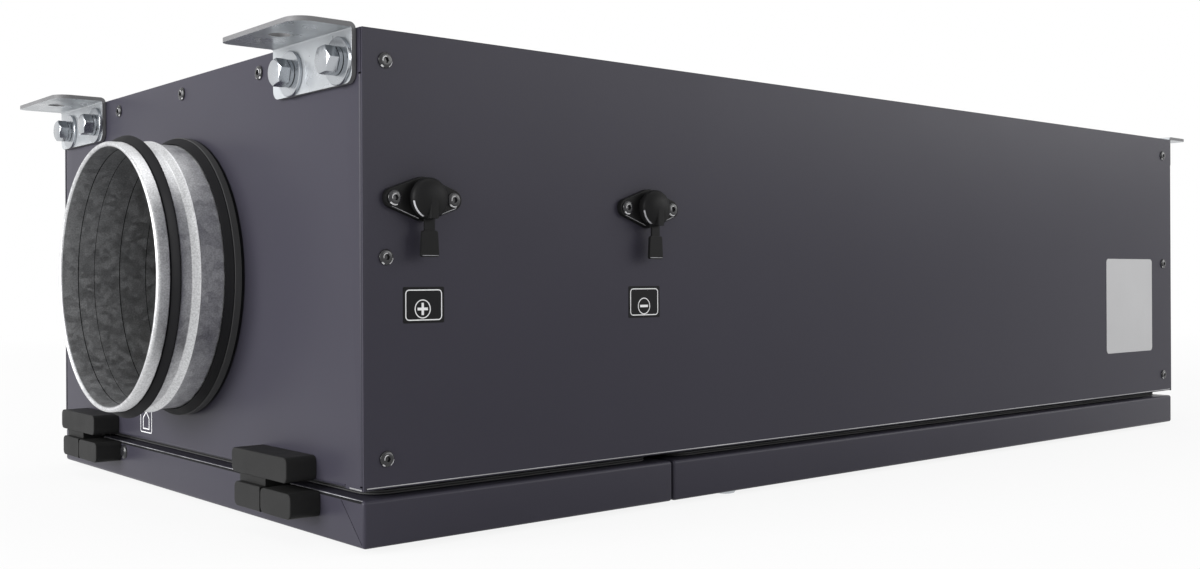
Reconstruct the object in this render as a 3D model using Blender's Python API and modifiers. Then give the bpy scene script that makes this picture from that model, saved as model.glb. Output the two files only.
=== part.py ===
"""Compact ceiling-hung air handling unit with round duct spigots.

A folded sheet-metal casing, lined with insulation slabs, is closed underneath by a short and a long
lid. Each lid hangs on two plastic hinges at its own end of the casing and swings down. A round
spigot with a rubber lip seal leads through each end, and four angle brackets at the top carry the
unit on hanger rods. Two capped pressure ports stand on the front side.

The origin lies on the underside of the lids, at the middle of the casing. X runs along the air
path, the front side faces -Y and +Z is up. The near end is at -X.
"""
import math

import bmesh
import bpy
from mathutils import Matrix, Vector

# Casing
LENGTH = 0.840
WIDTH = 0.424
SHEET = 0.0012
BEND_RADIUS = 0.0020
BEND_RELIEF = 0.0008
BASE_LIP = 0.018
TOP_FLANGE = 0.022
END_FLANGE = 0.022
LINING = 0.020
RAIL_WIDTH = 0.044
RAIL_HEIGHT = 0.022

# Lids and their gaskets
LID_HEIGHT = 0.0238
SEAL_GAP = 0.0044
SHORT_LID_LENGTH = 0.210
LID_JOINT_GAP = 0.0010
LID_LIP = 0.018
GASKET_INSET = 0.0085
GASKET_WIDTH = 0.0080
GASKET_CORNER = 0.012

# Duct spigots
DUCT_RADIUS = 0.0795
ROOM_ABOVE_DUCT = 0.0198
ROOM_BELOW_DUCT = 0.0246
SPIGOT_REACH = 0.0488
SPIGOT_INSIDE = 0.024
SPIGOT_WALL = 0.0008
RIM_WIDTH = 0.0074
SEAL_WIDTH = 0.0064
SEAL_DEPTH = 0.0022
SEAL_LIP = 0.0042
WAIST_WIDTH = 0.0078
WAIST_DEPTH = 0.0011
BEAD_WIDTH = 0.0034
BEAD_HEIGHT = 0.0016
COLLAR_DEPTH = 0.0102
COLLAR_HEIGHT = 0.0047
COLLAR_FOOT = 0.0012
TURN_STEPS = 40
SMALL_TURN_STEPS = 24

# Hanging brackets
BRACKET_LENGTH = 0.0826
BRACKET_SHEET = 0.0025
BRACKET_LEG = 0.0297
BRACKET_REACH = 0.0334
BRACKET_RISE = 0.0027
BRACKET_CORNER = 0.0055
BRACKET_BIG_CORNER = 0.0105
BRACKET_BEND = 0.0035
BRACKET_INSET = 0.0030
BRACKET_SHIFT = 0.0020
ROD_HOLE_RADIUS = 0.0055
ROD_HOLE_REACH = 0.0200
BOLT_SPACING = 0.0500
BOLT_SHIFT = -0.0047
BOLT_HOLE_RADIUS = 0.0045
BOLT_DROP = 0.0180

# Hinges
HINGE_INSET = 0.0761
HINGE_DEPTH = 0.0170
HINGE_UPPER_WIDTH = 0.0626
HINGE_LOWER_WIDTH = 0.0636
HINGE_STAGGER = 0.0030
HINGE_UPPER_HEIGHT = 0.0130
HINGE_KNUCKLE_HEIGHT = 0.0132
HINGE_KNUCKLE_TOP = 0.0236
HINGE_CORNER = 0.0034
HINGE_SEAM = 0.0006
HINGE_TONGUE_RECESS = 0.0035
HINGE_BACK_GAP = 0.0009
PIN_RADIUS = 0.0023
PIN_LENGTH = 0.020
PIN_CLEARANCE = 0.0003

# Pressure ports on the front side
PORT_PLACES = (0.0337, 0.1890)
PORT_DROP = 0.083
PORT_SCREW_SPACING = 0.0352
PORT_END_RADIUS = 0.0052
PORT_HUB_RADIUS = 0.0112
PORT_SHEET = 0.0030
NECK_RADIUS = 0.0088
NECK_RISE = 0.0030
CAP_RADIUS = 0.0105
CAP_RIM = 0.0013
CAP_RISE = 0.0062
RIB_WIDTH = 0.0046
STRAP_WIDTH = 0.0060
STRAP_SHEET = 0.0012
STRAP_LENGTH = 0.0055
TAB_WIDTH = 0.0108
TAB_SHEET = 0.0020
TAB_LENGTH = 0.0132

# Gap between pieces that touch
FIT = 0.0003
LINING_FIT = 0.0005

# Worked out from the sizes above
HALF_LENGTH = LENGTH / 2.0
HALF_WIDTH = WIDTH / 2.0
BASE_Z = LID_HEIGHT + SEAL_GAP
SIDE_FACE = HALF_WIDTH - SHEET - FIT
END_FACE = HALF_LENGTH - SHEET - FIT
LINING_Y = SIDE_FACE - SHEET - LINING_FIT
LINING_X = END_FACE - SHEET - LINING_FIT
LINING_BASE = BASE_Z + SHEET + LINING_FIT
DUCT_Z = LINING_BASE + ROOM_BELOW_DUCT + DUCT_RADIUS
CAVITY_TOP = DUCT_Z + DUCT_RADIUS + ROOM_ABOVE_DUCT
LINING_TOP = CAVITY_TOP + LINING
TOP_Z = LINING_TOP + LINING_FIT + SHEET
JOINT_X = -HALF_LENGTH + SHORT_LID_LENGTH
HINGE_AXIS_OUT = FIT + HINGE_DEPTH / 2.0
HINGE_AXIS_Z = HINGE_KNUCKLE_TOP - HINGE_KNUCKLE_HEIGHT / 2.0
HINGE_Y = HALF_WIDTH - HINGE_INSET
BRACKET_Y = HALF_WIDTH - BRACKET_INSET - BRACKET_LENGTH / 2.0
BRACKET_TOP_Z = TOP_Z + BRACKET_RISE

GRAPHITE = ("graphite_powder_coat", (0.060, 0.058, 0.066), 0.45, 0.0)
LINING_FOAM = ("mineral_wool_lining", (0.30, 0.29, 0.27), 0.95, 0.0)
ZINC = ("zinc_plated_steel", (0.62, 0.63, 0.64), 0.32, 1.0)
GALVANISED = ("galvanised_steel", (0.52, 0.53, 0.54), 0.38, 1.0)
RUBBER = ("black_rubber", (0.018, 0.018, 0.018), 0.75, 0.0)
BLACK_PLASTIC = ("black_plastic", (0.022, 0.022, 0.023), 0.55, 0.0)


def clear_scene():
    """Remove whatever the startup file holds."""
    for item in list(bpy.data.objects):
        bpy.data.objects.remove(item, do_unlink=True)


def make_collection(name):
    """Make a collection under the scene's own."""
    collection = bpy.data.collections.new(name)
    bpy.context.scene.collection.children.link(collection)
    return collection


def material(finish):
    """Find or make the material of a finish."""
    name, colour, roughness, metallic = finish
    found = bpy.data.materials.get(name)
    if found:
        return found
    made = bpy.data.materials.new(name)
    made.use_nodes = True
    shader = made.node_tree.nodes["Principled BSDF"]
    shader.inputs["Base Color"].default_value = (*colour, 1.0)
    shader.inputs["Roughness"].default_value = roughness
    shader.inputs["Metallic"].default_value = metallic
    return made


def make_object(name, mesh, finish):
    """Turn a bmesh into a part of its own."""
    data = bpy.data.meshes.new(name)
    mesh.to_mesh(data)
    mesh.free()
    data.materials.append(material(finish))
    item = bpy.data.objects.new(name, data)
    PARTS.objects.link(item)
    return item


def make_cutter(name, mesh):
    """Turn a bmesh into a hidden helper for a Boolean."""
    data = bpy.data.meshes.new(name)
    mesh.to_mesh(data)
    mesh.free()
    item = bpy.data.objects.new(name, data)
    item.hide_render = True
    item.display_type = "WIRE"
    CUTTERS.objects.link(item)
    return item


def boolean(item, other, operation):
    """Cut, join or cross an object with a helper that shares its frame."""
    step = item.modifiers.new(operation.lower(), "BOOLEAN")
    step.operation = operation
    step.solver = "EXACT"
    step.object = other
    other.parent = item


def box(low, high):
    """A bmesh box between two corners."""
    mesh = bmesh.new()
    bmesh.ops.create_cube(mesh, size=1.0)
    size = Vector(high) - Vector(low)
    bmesh.ops.scale(mesh, vec=size, verts=mesh.verts)
    bmesh.ops.translate(mesh, vec=(Vector(high) + Vector(low)) / 2.0, verts=mesh.verts)
    return mesh


def cylinder(radius, start, end, segments):
    """A bmesh cylinder between two points."""
    mesh = bmesh.new()
    span = Vector(end) - Vector(start)
    bmesh.ops.create_cone(mesh, cap_ends=True, segments=segments, radius1=radius, radius2=radius,
                          depth=span.length)
    turn = Vector((0.0, 0.0, 1.0)).rotation_difference(span).to_matrix()
    bmesh.ops.rotate(mesh, cent=(0.0, 0.0, 0.0), matrix=turn, verts=mesh.verts)
    bmesh.ops.translate(mesh, vec=(Vector(start) + Vector(end)) / 2.0, verts=mesh.verts)
    return mesh


def round_edges(mesh, edges, radius, segments):
    """Round the given edges of a bmesh."""
    bmesh.ops.bevel(mesh, geom=edges, offset=radius, offset_type="OFFSET", segments=segments,
                    profile=0.5, affect="EDGES", clamp_overlap=True, material=-1)


def rounded_block(low, high, radius, axis=0, segments=3):
    """A box whose four edges along one axis are rounded."""
    mesh = box(low, high)
    along = [edge for edge in mesh.edges
             if abs(edge.verts[0].co[axis] - edge.verts[1].co[axis]) > 1e-6]
    round_edges(mesh, along, radius, segments)
    return mesh


def outward(mesh):
    """Turn an open sheet so that its flat main face looks along +Z."""
    bmesh.ops.recalc_face_normals(mesh, faces=mesh.faces)
    main = max(mesh.faces, key=lambda face: face.calc_area() * abs(face.normal.z))
    if main.normal.z < 0.0:
        bmesh.ops.reverse_faces(mesh, faces=mesh.faces)


def sheet(low, high):
    """A flat bmesh rectangle in the XY plane."""
    mesh = bmesh.new()
    bmesh.ops.create_grid(mesh, x_segments=1, y_segments=1, size=0.5)
    bmesh.ops.scale(mesh, vec=(high[0] - low[0], high[1] - low[1], 1.0), verts=mesh.verts)
    middle = Vector((high[0] + low[0], high[1] + low[1], 0.0)) / 2.0
    bmesh.ops.translate(mesh, vec=middle, verts=mesh.verts)
    return mesh


def fold_flap(mesh, axis, place, start, end, depth):
    """Fold a flap down, over a round bend, from the sheet's edge that lies at a place on one axis.

    The sheet is notched beside the flap's ends, so that the bend stays clear of the flat.
    """
    along = 1 - axis
    spread = [vert.co[axis] for vert in mesh.verts]
    out = math.copysign(1.0, place - (min(spread) + max(spread)) / 2.0)
    bend = place - out * BEND_RADIUS
    cuts = ((along, start - BEND_RELIEF), (along, start), (along, end), (along, end + BEND_RELIEF),
            (axis, bend))
    for direction, cut in cuts:
        point = Vector((0.0, 0.0, 0.0))
        normal = Vector((0.0, 0.0, 0.0))
        point[direction] = cut
        normal[direction] = 1.0
        flat = [face for face in mesh.faces if abs(face.calc_center_median().z) < 1e-6]
        edges = {edge for face in flat for edge in face.edges}
        verts = {vert for face in flat for vert in face.verts}
        bmesh.ops.bisect_plane(mesh, geom=[*verts, *edges, *flat], dist=1e-7, plane_co=point,
                               plane_no=normal)

    def in_strip(point):
        across = (point[axis] - bend) * out
        beside = start - BEND_RELIEF < point[along] < end + BEND_RELIEF
        return beside and across > 0.0 and abs(point.z) < 1e-6

    strip = [face for face in mesh.faces if in_strip(face.calc_center_median())]
    bmesh.ops.delete(mesh, geom=strip, context="FACES")

    def on_bend(vert):
        inside = start - 1e-6 <= vert.co[along] <= end + 1e-6
        return inside and abs(vert.co[axis] - bend) < 1e-6 and abs(vert.co.z) < 1e-6

    edges = [edge for edge in mesh.edges if edge.is_boundary and all(map(on_bend, edge.verts))]
    path = []
    for angle in (30.0, 60.0, 90.0):
        turn = math.radians(angle)
        path.append((out * BEND_RADIUS * math.sin(turn), -BEND_RADIUS * (1.0 - math.cos(turn))))
    path.append((out * BEND_RADIUS, -depth))
    before = (0.0, 0.0)
    for across, down in path:
        grown = bmesh.ops.extrude_edge_only(mesh, edges=edges)
        edges = [item for item in grown["geom"] if isinstance(item, bmesh.types.BMEdge)]
        verts = [item for item in grown["geom"] if isinstance(item, bmesh.types.BMVert)]
        for vert in verts:
            vert.co[axis] += across - before[0]
            vert.co.z += down - before[1]
        before = (across, down)


def bend_edges(mesh, radius):
    """Round the folds of an open sheet."""
    mesh.normal_update()
    folds = [edge for edge in mesh.edges
             if len(edge.link_faces) == 2 and edge.calc_face_angle() > math.radians(60.0)]
    round_edges(mesh, folds, radius, 2)


def thicken(item, thickness):
    """Give an open sheet its thickness, inwards from its outer face."""
    step = item.modifiers.new("thickness", "SOLIDIFY")
    step.thickness = thickness
    step.offset = -1.0
    step.use_even_offset = True
    step.use_quality_normals = True


def folded_panel(name, low, high, flaps, finish):
    """A sheet panel with flaps: each is its axis, edge place, start, end and depth."""
    mesh = sheet(low, high)
    for flap in flaps:
        fold_flap(mesh, *flap)
    outward(mesh)
    item = make_object(name, mesh, finish)
    thicken(item, SHEET)
    return item


def folded_tray(name, low, high, depth, lip, finish):
    """A sheet tray, open below, with an inward lip round its opening where lip is above zero."""
    mesh = sheet(low, high)
    middle = (Vector((*low, 0.0)) + Vector((*high, 0.0))) / 2.0
    for wall, move in ((True, depth), (False, lip)):
        if move <= 0.0:
            continue
        edges = [edge for edge in mesh.edges if edge.is_boundary]
        grown = bmesh.ops.extrude_edge_only(mesh, edges=edges)
        verts = [item for item in grown["geom"] if isinstance(item, bmesh.types.BMVert)]
        for vert in verts:
            if wall:
                vert.co.z -= move
            else:
                vert.co.x -= math.copysign(move, vert.co.x - middle.x)
                vert.co.y -= math.copysign(move, vert.co.y - middle.y)
    outward(mesh)
    bend_edges(mesh, BEND_RADIUS)
    item = make_object(name, mesh, finish)
    thicken(item, SHEET)
    return item


def turned(name, profile, closed, finish, steps=TURN_STEPS):
    """A shape turned about Z from a profile of (radius, height) that runs down its outer side."""
    mesh = bmesh.new()
    verts = [mesh.verts.new((radius, 0.0, height)) for radius, height in profile]
    for first, second in zip(verts, verts[1:]):
        mesh.edges.new((first, second))
    if closed:
        mesh.edges.new((verts[-1], verts[0]))
    item = make_object(name, mesh, finish)
    step = item.modifiers.new("turn", "SCREW")
    step.axis = "Z"
    step.angle = math.tau
    step.steps = steps
    step.render_steps = steps
    step.use_merge_vertices = True
    step.merge_threshold = 0.00001
    return item


def plate(name, outlines, thickness, finish):
    """A flat plate on the XY plane, made from an outline and the outlines of its openings."""
    curve = bpy.data.curves.new(name, "CURVE")
    curve.dimensions = "2D"
    curve.fill_mode = "BOTH"
    curve.extrude = thickness / 2.0
    for outline in outlines:
        line = curve.splines.new("POLY")
        line.points.add(len(outline) - 1)
        for point, (x, y) in zip(line.points, outline):
            point.co = (x, y, 0.0, 1.0)
        line.use_cyclic_u = True
    drawing = bpy.data.objects.new(name + "_outline", curve)
    bpy.context.scene.collection.objects.link(drawing)
    graph = bpy.context.evaluated_depsgraph_get()
    graph.update()
    flat = bpy.data.meshes.new_from_object(drawing.evaluated_get(graph))
    mesh = bmesh.new()
    mesh.from_mesh(flat)
    bmesh.ops.remove_doubles(mesh, verts=mesh.verts, dist=0.00001)
    bmesh.ops.recalc_face_normals(mesh, faces=mesh.faces)
    bmesh.ops.translate(mesh, vec=(0.0, 0.0, thickness / 2.0), verts=mesh.verts)
    bpy.data.objects.remove(drawing, do_unlink=True)
    return make_object(name, mesh, finish)


def rounded_rectangle(low, high, radius, steps=4):
    """The outline of a rectangle with round corners."""
    corners = ((high[0], high[1], 0.0), (low[0], high[1], 90.0),
               (low[0], low[1], 180.0), (high[0], low[1], 270.0))
    points = []
    for x, y, start in corners:
        centre_x = x - math.copysign(radius, x - (low[0] + high[0]) / 2.0)
        centre_y = y - math.copysign(radius, y - (low[1] + high[1]) / 2.0)
        for step in range(steps + 1):
            angle = math.radians(start + 90.0 * step / steps)
            points.append((centre_x + radius * math.cos(angle), centre_y + radius * math.sin(angle)))
    return points


def belt_outline(circles, steps=48):
    """The outline of a belt stretched round circles of (x, y, radius)."""
    points = []
    for step in range(steps):
        angle = math.tau * step / steps
        x, y, radius = max(circles, key=lambda c: c[0] * math.cos(angle) + c[1] * math.sin(angle) + c[2])
        points.append((x + radius * math.cos(angle), y + radius * math.sin(angle)))
    return points


def place(item, location, matrix=Matrix()):
    """Set an object's place and turn."""
    item.matrix_world = Matrix.Translation(location) @ matrix


def turn_z(angle):
    """A turn about the vertical, in degrees."""
    return Matrix.Rotation(math.radians(angle), 4, "Z")


def side_axes(sign):
    """Lay a panel drawn in XY upright on the front (-1) or back (+1) side, its outside outwards."""
    return Matrix(((1.0, 0.0, 0.0, 0.0), (0.0, 0.0, sign, 0.0), (0.0, 1.0, 0.0, 0.0), (0.0, 0.0, 0.0, 1.0)))


def end_axes(sign):
    """Stand a panel drawn in XY on the near (-1) or far (+1) end, its outside outwards."""
    return Matrix(((0.0, 0.0, sign, 0.0), (1.0, 0.0, 0.0, 0.0), (0.0, 1.0, 0.0, 0.0), (0.0, 0.0, 0.0, 1.0)))


def build_casing():
    """The folded outer panels and the rail that closes the joint between the lids."""
    top = folded_tray("top_panel", (-END_FACE, -SIDE_FACE), (END_FACE, SIDE_FACE), TOP_FLANGE, 0.0,
                      GRAPHITE)
    place(top, (0.0, 0.0, TOP_Z))

    lip_x = END_FACE - BEND_RELIEF
    for name, sign in (("side_panel_front", -1.0), ("side_panel_back", 1.0)):
        lip = (1, BASE_Z, -lip_x, lip_x, BASE_LIP)
        panel = folded_panel(name, (-HALF_LENGTH, BASE_Z), (HALF_LENGTH, TOP_Z), (lip,), GRAPHITE)
        place(panel, (0.0, sign * HALF_WIDTH, 0.0), side_axes(sign))

    flange_top = TOP_Z - TOP_FLANGE - BEND_RELIEF
    lip_y = HALF_WIDTH - BASE_LIP - FIT
    for name, sign in (("end_panel_near", -1.0), ("end_panel_far", 1.0)):
        flange_base = LINING_BASE + BEND_RELIEF
        flaps = ((0, -SIDE_FACE, flange_base, flange_top, END_FLANGE),
                 (0, SIDE_FACE, flange_base, flange_top, END_FLANGE),
                 (1, BASE_Z, -lip_y, lip_y, BASE_LIP))
        panel = folded_panel(name, (-SIDE_FACE, BASE_Z), (SIDE_FACE, TOP_Z), flaps, GRAPHITE)
        hole = cylinder(DUCT_RADIUS + FIT, (0.0, DUCT_Z, -LINING), (0.0, DUCT_Z, LINING), TURN_STEPS)
        boolean(panel, make_cutter(name + "_hole", hole), "DIFFERENCE")
        place(panel, (sign * HALF_LENGTH, 0.0, 0.0), end_axes(sign))

    half = RAIL_WIDTH / 2.0
    web_y = LINING_Y - LINING - LINING_FIT
    flaps = ((0, -half, -web_y, web_y, RAIL_HEIGHT), (0, half, -web_y, web_y, RAIL_HEIGHT))
    rail = folded_panel("cross_rail", (-half, -lip_y), (half, lip_y), flaps, GRAPHITE)
    place(rail, (JOINT_X, 0.0, BASE_Z), Matrix.Rotation(math.pi, 4, "X"))


def build_lining():
    """The insulation slabs against the inside of the casing."""
    slabs = {
        "lining_top": ((-LINING_X, -LINING_Y, CAVITY_TOP), (LINING_X, LINING_Y, LINING_TOP)),
        "lining_front": ((-LINING_X + LINING + FIT, -LINING_Y, LINING_BASE),
                         (LINING_X - LINING - FIT, -LINING_Y + LINING, CAVITY_TOP - FIT)),
        "lining_back": ((-LINING_X + LINING + FIT, LINING_Y - LINING, LINING_BASE),
                        (LINING_X - LINING - FIT, LINING_Y, CAVITY_TOP - FIT)),
    }
    for name, (low, high) in slabs.items():
        make_object(name, box(low, high), LINING_FOAM)
    for name, sign in (("lining_near", -1.0), ("lining_far", 1.0)):
        ends = sorted((sign * LINING_X, sign * (LINING_X - LINING)))
        slab = make_object(name, box((ends[0], -LINING_Y, LINING_BASE),
                                     (ends[1], LINING_Y, CAVITY_TOP - FIT)), LINING_FOAM)
        hole = cylinder(DUCT_RADIUS + FIT, (ends[0] - LINING, 0.0, DUCT_Z),
                        (ends[1] + LINING, 0.0, DUCT_Z), TURN_STEPS)
        boolean(slab, make_cutter(name + "_hole", hole), "DIFFERENCE")


def spigot_profile():
    """The outer line of a spigot, from its rolled mouth down to its end inside the casing."""
    rim = SPIGOT_REACH - RIM_WIDTH
    groove_end = rim - SEAL_WIDTH
    waist_end = groove_end - WAIST_WIDTH
    bead_end = waist_end - BEAD_WIDTH
    step = 0.0004
    curl = 0.0015
    points = [(DUCT_RADIUS - 2.0 * curl, SPIGOT_REACH - 0.8 * curl)]
    for angle in (150.0, 110.0, 70.0, 30.0):
        points.append((DUCT_RADIUS - curl + curl * math.cos(math.radians(angle)),
                       SPIGOT_REACH - curl + curl * math.sin(math.radians(angle))))
    points += [(DUCT_RADIUS, SPIGOT_REACH - curl - step), (DUCT_RADIUS, rim)]
    points += [(DUCT_RADIUS - SEAL_DEPTH, rim - step), (DUCT_RADIUS - SEAL_DEPTH, groove_end + step)]
    points += [(DUCT_RADIUS, groove_end), (DUCT_RADIUS - WAIST_DEPTH, groove_end - WAIST_WIDTH * 0.4),
               (DUCT_RADIUS - WAIST_DEPTH * 0.6, groove_end - WAIST_WIDTH * 0.8), (DUCT_RADIUS, waist_end)]
    middle = (waist_end + bead_end) / 2.0
    for angle in (60.0, 20.0, -20.0, -60.0):
        points.append((DUCT_RADIUS + BEAD_HEIGHT * math.cos(math.radians(angle)),
                       middle + BEAD_WIDTH / 2.0 * math.sin(math.radians(angle))))
    points += [(DUCT_RADIUS, bead_end), (DUCT_RADIUS, -SPIGOT_INSIDE)]
    return points


def seal_profile():
    """The closed profile of the rubber lip seal in the spigot's groove."""
    top = SPIGOT_REACH - RIM_WIDTH - 2.0 * FIT
    bottom = top - SEAL_WIDTH + 4.0 * FIT
    floor = DUCT_RADIUS - SEAL_DEPTH + FIT
    return [(DUCT_RADIUS - FIT, top), (DUCT_RADIUS + SEAL_LIP * 0.6, top - SEAL_WIDTH * 0.28),
            (DUCT_RADIUS + SEAL_LIP, bottom + SEAL_WIDTH * 0.3), (DUCT_RADIUS + SEAL_LIP * 0.7, bottom + FIT),
            (DUCT_RADIUS + FIT, bottom), (floor, bottom), (floor, top)]


def collar_profile():
    """The closed profile of the wedge gasket where the spigot meets the end panel."""
    inner = DUCT_RADIUS + FIT
    return [(inner + 0.0007, COLLAR_DEPTH), (DUCT_RADIUS + COLLAR_HEIGHT, COLLAR_DEPTH * 0.62),
            (DUCT_RADIUS + COLLAR_HEIGHT, FIT + COLLAR_FOOT),
            (DUCT_RADIUS + COLLAR_HEIGHT - COLLAR_FOOT, FIT), (inner, FIT), (inner, COLLAR_DEPTH)]


def build_spigots():
    """A turned spigot, its lip seal and its wall gasket at each end."""
    for end, sign in (("near", -1.0), ("far", 1.0)):
        out = Matrix.Rotation(sign * math.pi / 2.0, 4, "Y")
        spot = (sign * HALF_LENGTH, 0.0, DUCT_Z)
        tube = turned("spigot_" + end, spigot_profile(), False, GALVANISED)
        thicken(tube, SPIGOT_WALL)
        place(tube, spot, out)
        seal = turned("spigot_seal_" + end, seal_profile(), True, RUBBER)
        place(seal, spot, out)
        collar = turned("spigot_gasket_" + end, collar_profile(), True, RUBBER)
        place(collar, spot, out)


def build_bracket(name, end_turn, y):
    """A folded angle bracket; its flange is level and reaches outwards, its leg hangs on the panel."""
    half = BRACKET_LENGTH / 2.0
    mesh = sheet((-BRACKET_REACH, -half), (-FIT, half))
    edge = [edge for edge in mesh.edges if all(vert.co.x > -2.0 * FIT for vert in edge.verts)]
    grown = bmesh.ops.extrude_edge_only(mesh, edges=edge)
    verts = [item for item in grown["geom"] if isinstance(item, bmesh.types.BMVert)]
    bmesh.ops.translate(mesh, vec=(0.0, 0.0, -BRACKET_LEG), verts=verts)
    outward(mesh)
    corners = [vert for vert in mesh.verts if vert.is_boundary and len(vert.link_edges) == 2]
    big = [vert for vert in corners if vert.co.x < -FIT * 2.0 and vert.co.y < 0.0]
    small = [vert for vert in corners if vert not in big]
    for verts, radius in ((small, BRACKET_CORNER), (big, BRACKET_BIG_CORNER)):
        bmesh.ops.bevel(mesh, geom=verts, offset=radius, offset_type="OFFSET", segments=4, profile=0.5,
                        affect="VERTICES", clamp_overlap=True, material=-1)
    bend_edges(mesh, BRACKET_BEND)
    item = make_object(name, mesh, ZINC)
    thicken(item, BRACKET_SHEET)
    rod = cylinder(ROD_HOLE_RADIUS, (-ROD_HOLE_REACH, 0.0, -0.01), (-ROD_HOLE_REACH, 0.0, 0.01), 24)
    boolean(item, make_cutter(name + "_rod_hole", rod), "DIFFERENCE")
    for number, side in enumerate((-0.5, 0.5), start=1):
        bolt_y = BOLT_SHIFT + side * BOLT_SPACING
        bolt = cylinder(BOLT_HOLE_RADIUS, (-0.01, bolt_y, -BOLT_DROP), (0.01, bolt_y, -BOLT_DROP), 16)
        boolean(item, make_cutter(f"{name}_bolt_hole_{number}", bolt), "DIFFERENCE")
    turn = turn_z(end_turn)
    place(item, turn @ Vector((-HALF_LENGTH, y, BRACKET_TOP_Z)), turn)


def build_brackets():
    """Two brackets at each end; the far end's pair is the near pair turned half round."""
    spots = (("bracket_near_front", 0.0, -1.0), ("bracket_near_back", 0.0, 1.0),
             ("bracket_far_back", 180.0, -1.0), ("bracket_far_front", 180.0, 1.0))
    for name, turn, side in spots:
        build_bracket(name, turn, BRACKET_SHIFT + side * BRACKET_Y)


def knuckle_outline():
    """The fixed knuckle's outline in X and Z about its pin, rounded where the lid's end swings past."""
    half = HINGE_KNUCKLE_HEIGHT / 2.0
    front = -HINGE_DEPTH / 2.0
    back = HINGE_AXIS_OUT - HINGE_BACK_GAP
    points = [(front, half), (front, -half)]
    first = -math.asin(half / back)
    for step in range(5):
        angle = -math.pi / 2.0 + (math.pi / 2.0 - abs(first)) + abs(first) * step / 4.0
        points.append((back * math.cos(angle), back * math.sin(angle)))
    points.append((back, half))
    return points


def extrude_outline(outline, low_y, high_y):
    """A solid bmesh from an outline in X and Z, drawn out along Y."""
    mesh = bmesh.new()
    face = mesh.faces.new([mesh.verts.new((x, low_y, z)) for x, z in outline])
    grown = bmesh.ops.extrude_face_region(mesh, geom=[face])
    verts = [item for item in grown["geom"] if isinstance(item, bmesh.types.BMVert)]
    bmesh.ops.translate(mesh, vec=(0.0, high_y - low_y, 0.0), verts=verts)
    bmesh.ops.recalc_face_normals(mesh, faces=mesh.faces)
    return mesh


def build_hinge(label, end_turn, y, axle):
    """One lift-off hinge: a leaf with a pin on the casing and a knuckle on the lid.

    It is drawn about its pin, with the outside at -X, and the far end's hinges are turned half round.
    """
    front = -HINGE_DEPTH / 2.0
    back = HINGE_DEPTH / 2.0
    half_width = (HINGE_LOWER_WIDTH + HINGE_STAGGER) / 2.0
    seam_low = -HINGE_SEAM / 2.0
    seam_high = HINGE_SEAM / 2.0
    knuckle_half = HINGE_KNUCKLE_HEIGHT / 2.0
    upper_low = BASE_Z + FIT - HINGE_AXIS_Z
    knuckle_end = half_width - HINGE_STAGGER

    leaf_mesh = rounded_block((front, half_width - HINGE_UPPER_WIDTH, upper_low),
                              (back, half_width, upper_low + HINGE_UPPER_HEIGHT), HINGE_CORNER)
    leaf = make_object(f"hinge_leaf_{label}", leaf_mesh, BLACK_PLASTIC)
    overlap = 0.001
    tongue = box((front + HINGE_TONGUE_RECESS, seam_high, knuckle_half - overlap),
                 (back - HINGE_BACK_GAP, knuckle_end, upper_low + overlap))
    boolean(leaf, make_cutter(f"tongue_{label}", tongue), "UNION")
    knuckle = make_cutter(f"knuckle_{label}", extrude_outline(knuckle_outline(), seam_high, knuckle_end))
    envelope = rounded_block((-HINGE_DEPTH, seam_high - 2.0 * HINGE_CORNER, -knuckle_half),
                             (HINGE_DEPTH, knuckle_end, knuckle_half), HINGE_CORNER)
    boolean(knuckle, make_cutter(f"knuckle_envelope_{label}", envelope), "INTERSECT")
    boolean(leaf, knuckle, "UNION")
    pin = cylinder(PIN_RADIUS, (0.0, seam_low - PIN_LENGTH, 0.0), (0.0, seam_high + 0.004, 0.0), 24)
    boolean(leaf, make_cutter(f"pin_{label}", pin), "UNION")

    lid_leaf_mesh = rounded_block((front, -half_width, -knuckle_half),
                                  (back, seam_low, knuckle_half), HINGE_CORNER)
    lid_leaf = make_object(f"hinge_knuckle_{label}", lid_leaf_mesh, BLACK_PLASTIC)
    bore = cylinder(PIN_RADIUS + PIN_CLEARANCE, (0.0, seam_low - PIN_LENGTH - 0.001, 0.0),
                    (0.0, seam_high, 0.0), 24)
    boolean(lid_leaf, make_cutter(f"bore_{label}", bore), "DIFFERENCE")

    turn = turn_z(end_turn)
    spot = turn @ Vector((-HALF_LENGTH - HINGE_AXIS_OUT, y, HINGE_AXIS_Z))
    place(leaf, spot, turn)
    place(lid_leaf, spot, turn)
    hang_on(lid_leaf, axle)


def make_axle(name, sign):
    """An empty on a lid's hinge line."""
    axle = bpy.data.objects.new(name, None)
    axle.location = (sign * (HALF_LENGTH + HINGE_AXIS_OUT), 0.0, HINGE_AXIS_Z)
    PARTS.objects.link(axle)
    return axle


def hang_on(item, axle):
    """Parent an object to an empty and keep it where it is."""
    item.parent = axle
    item.matrix_parent_inverse = Matrix.Translation(-Vector(axle.location))


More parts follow.
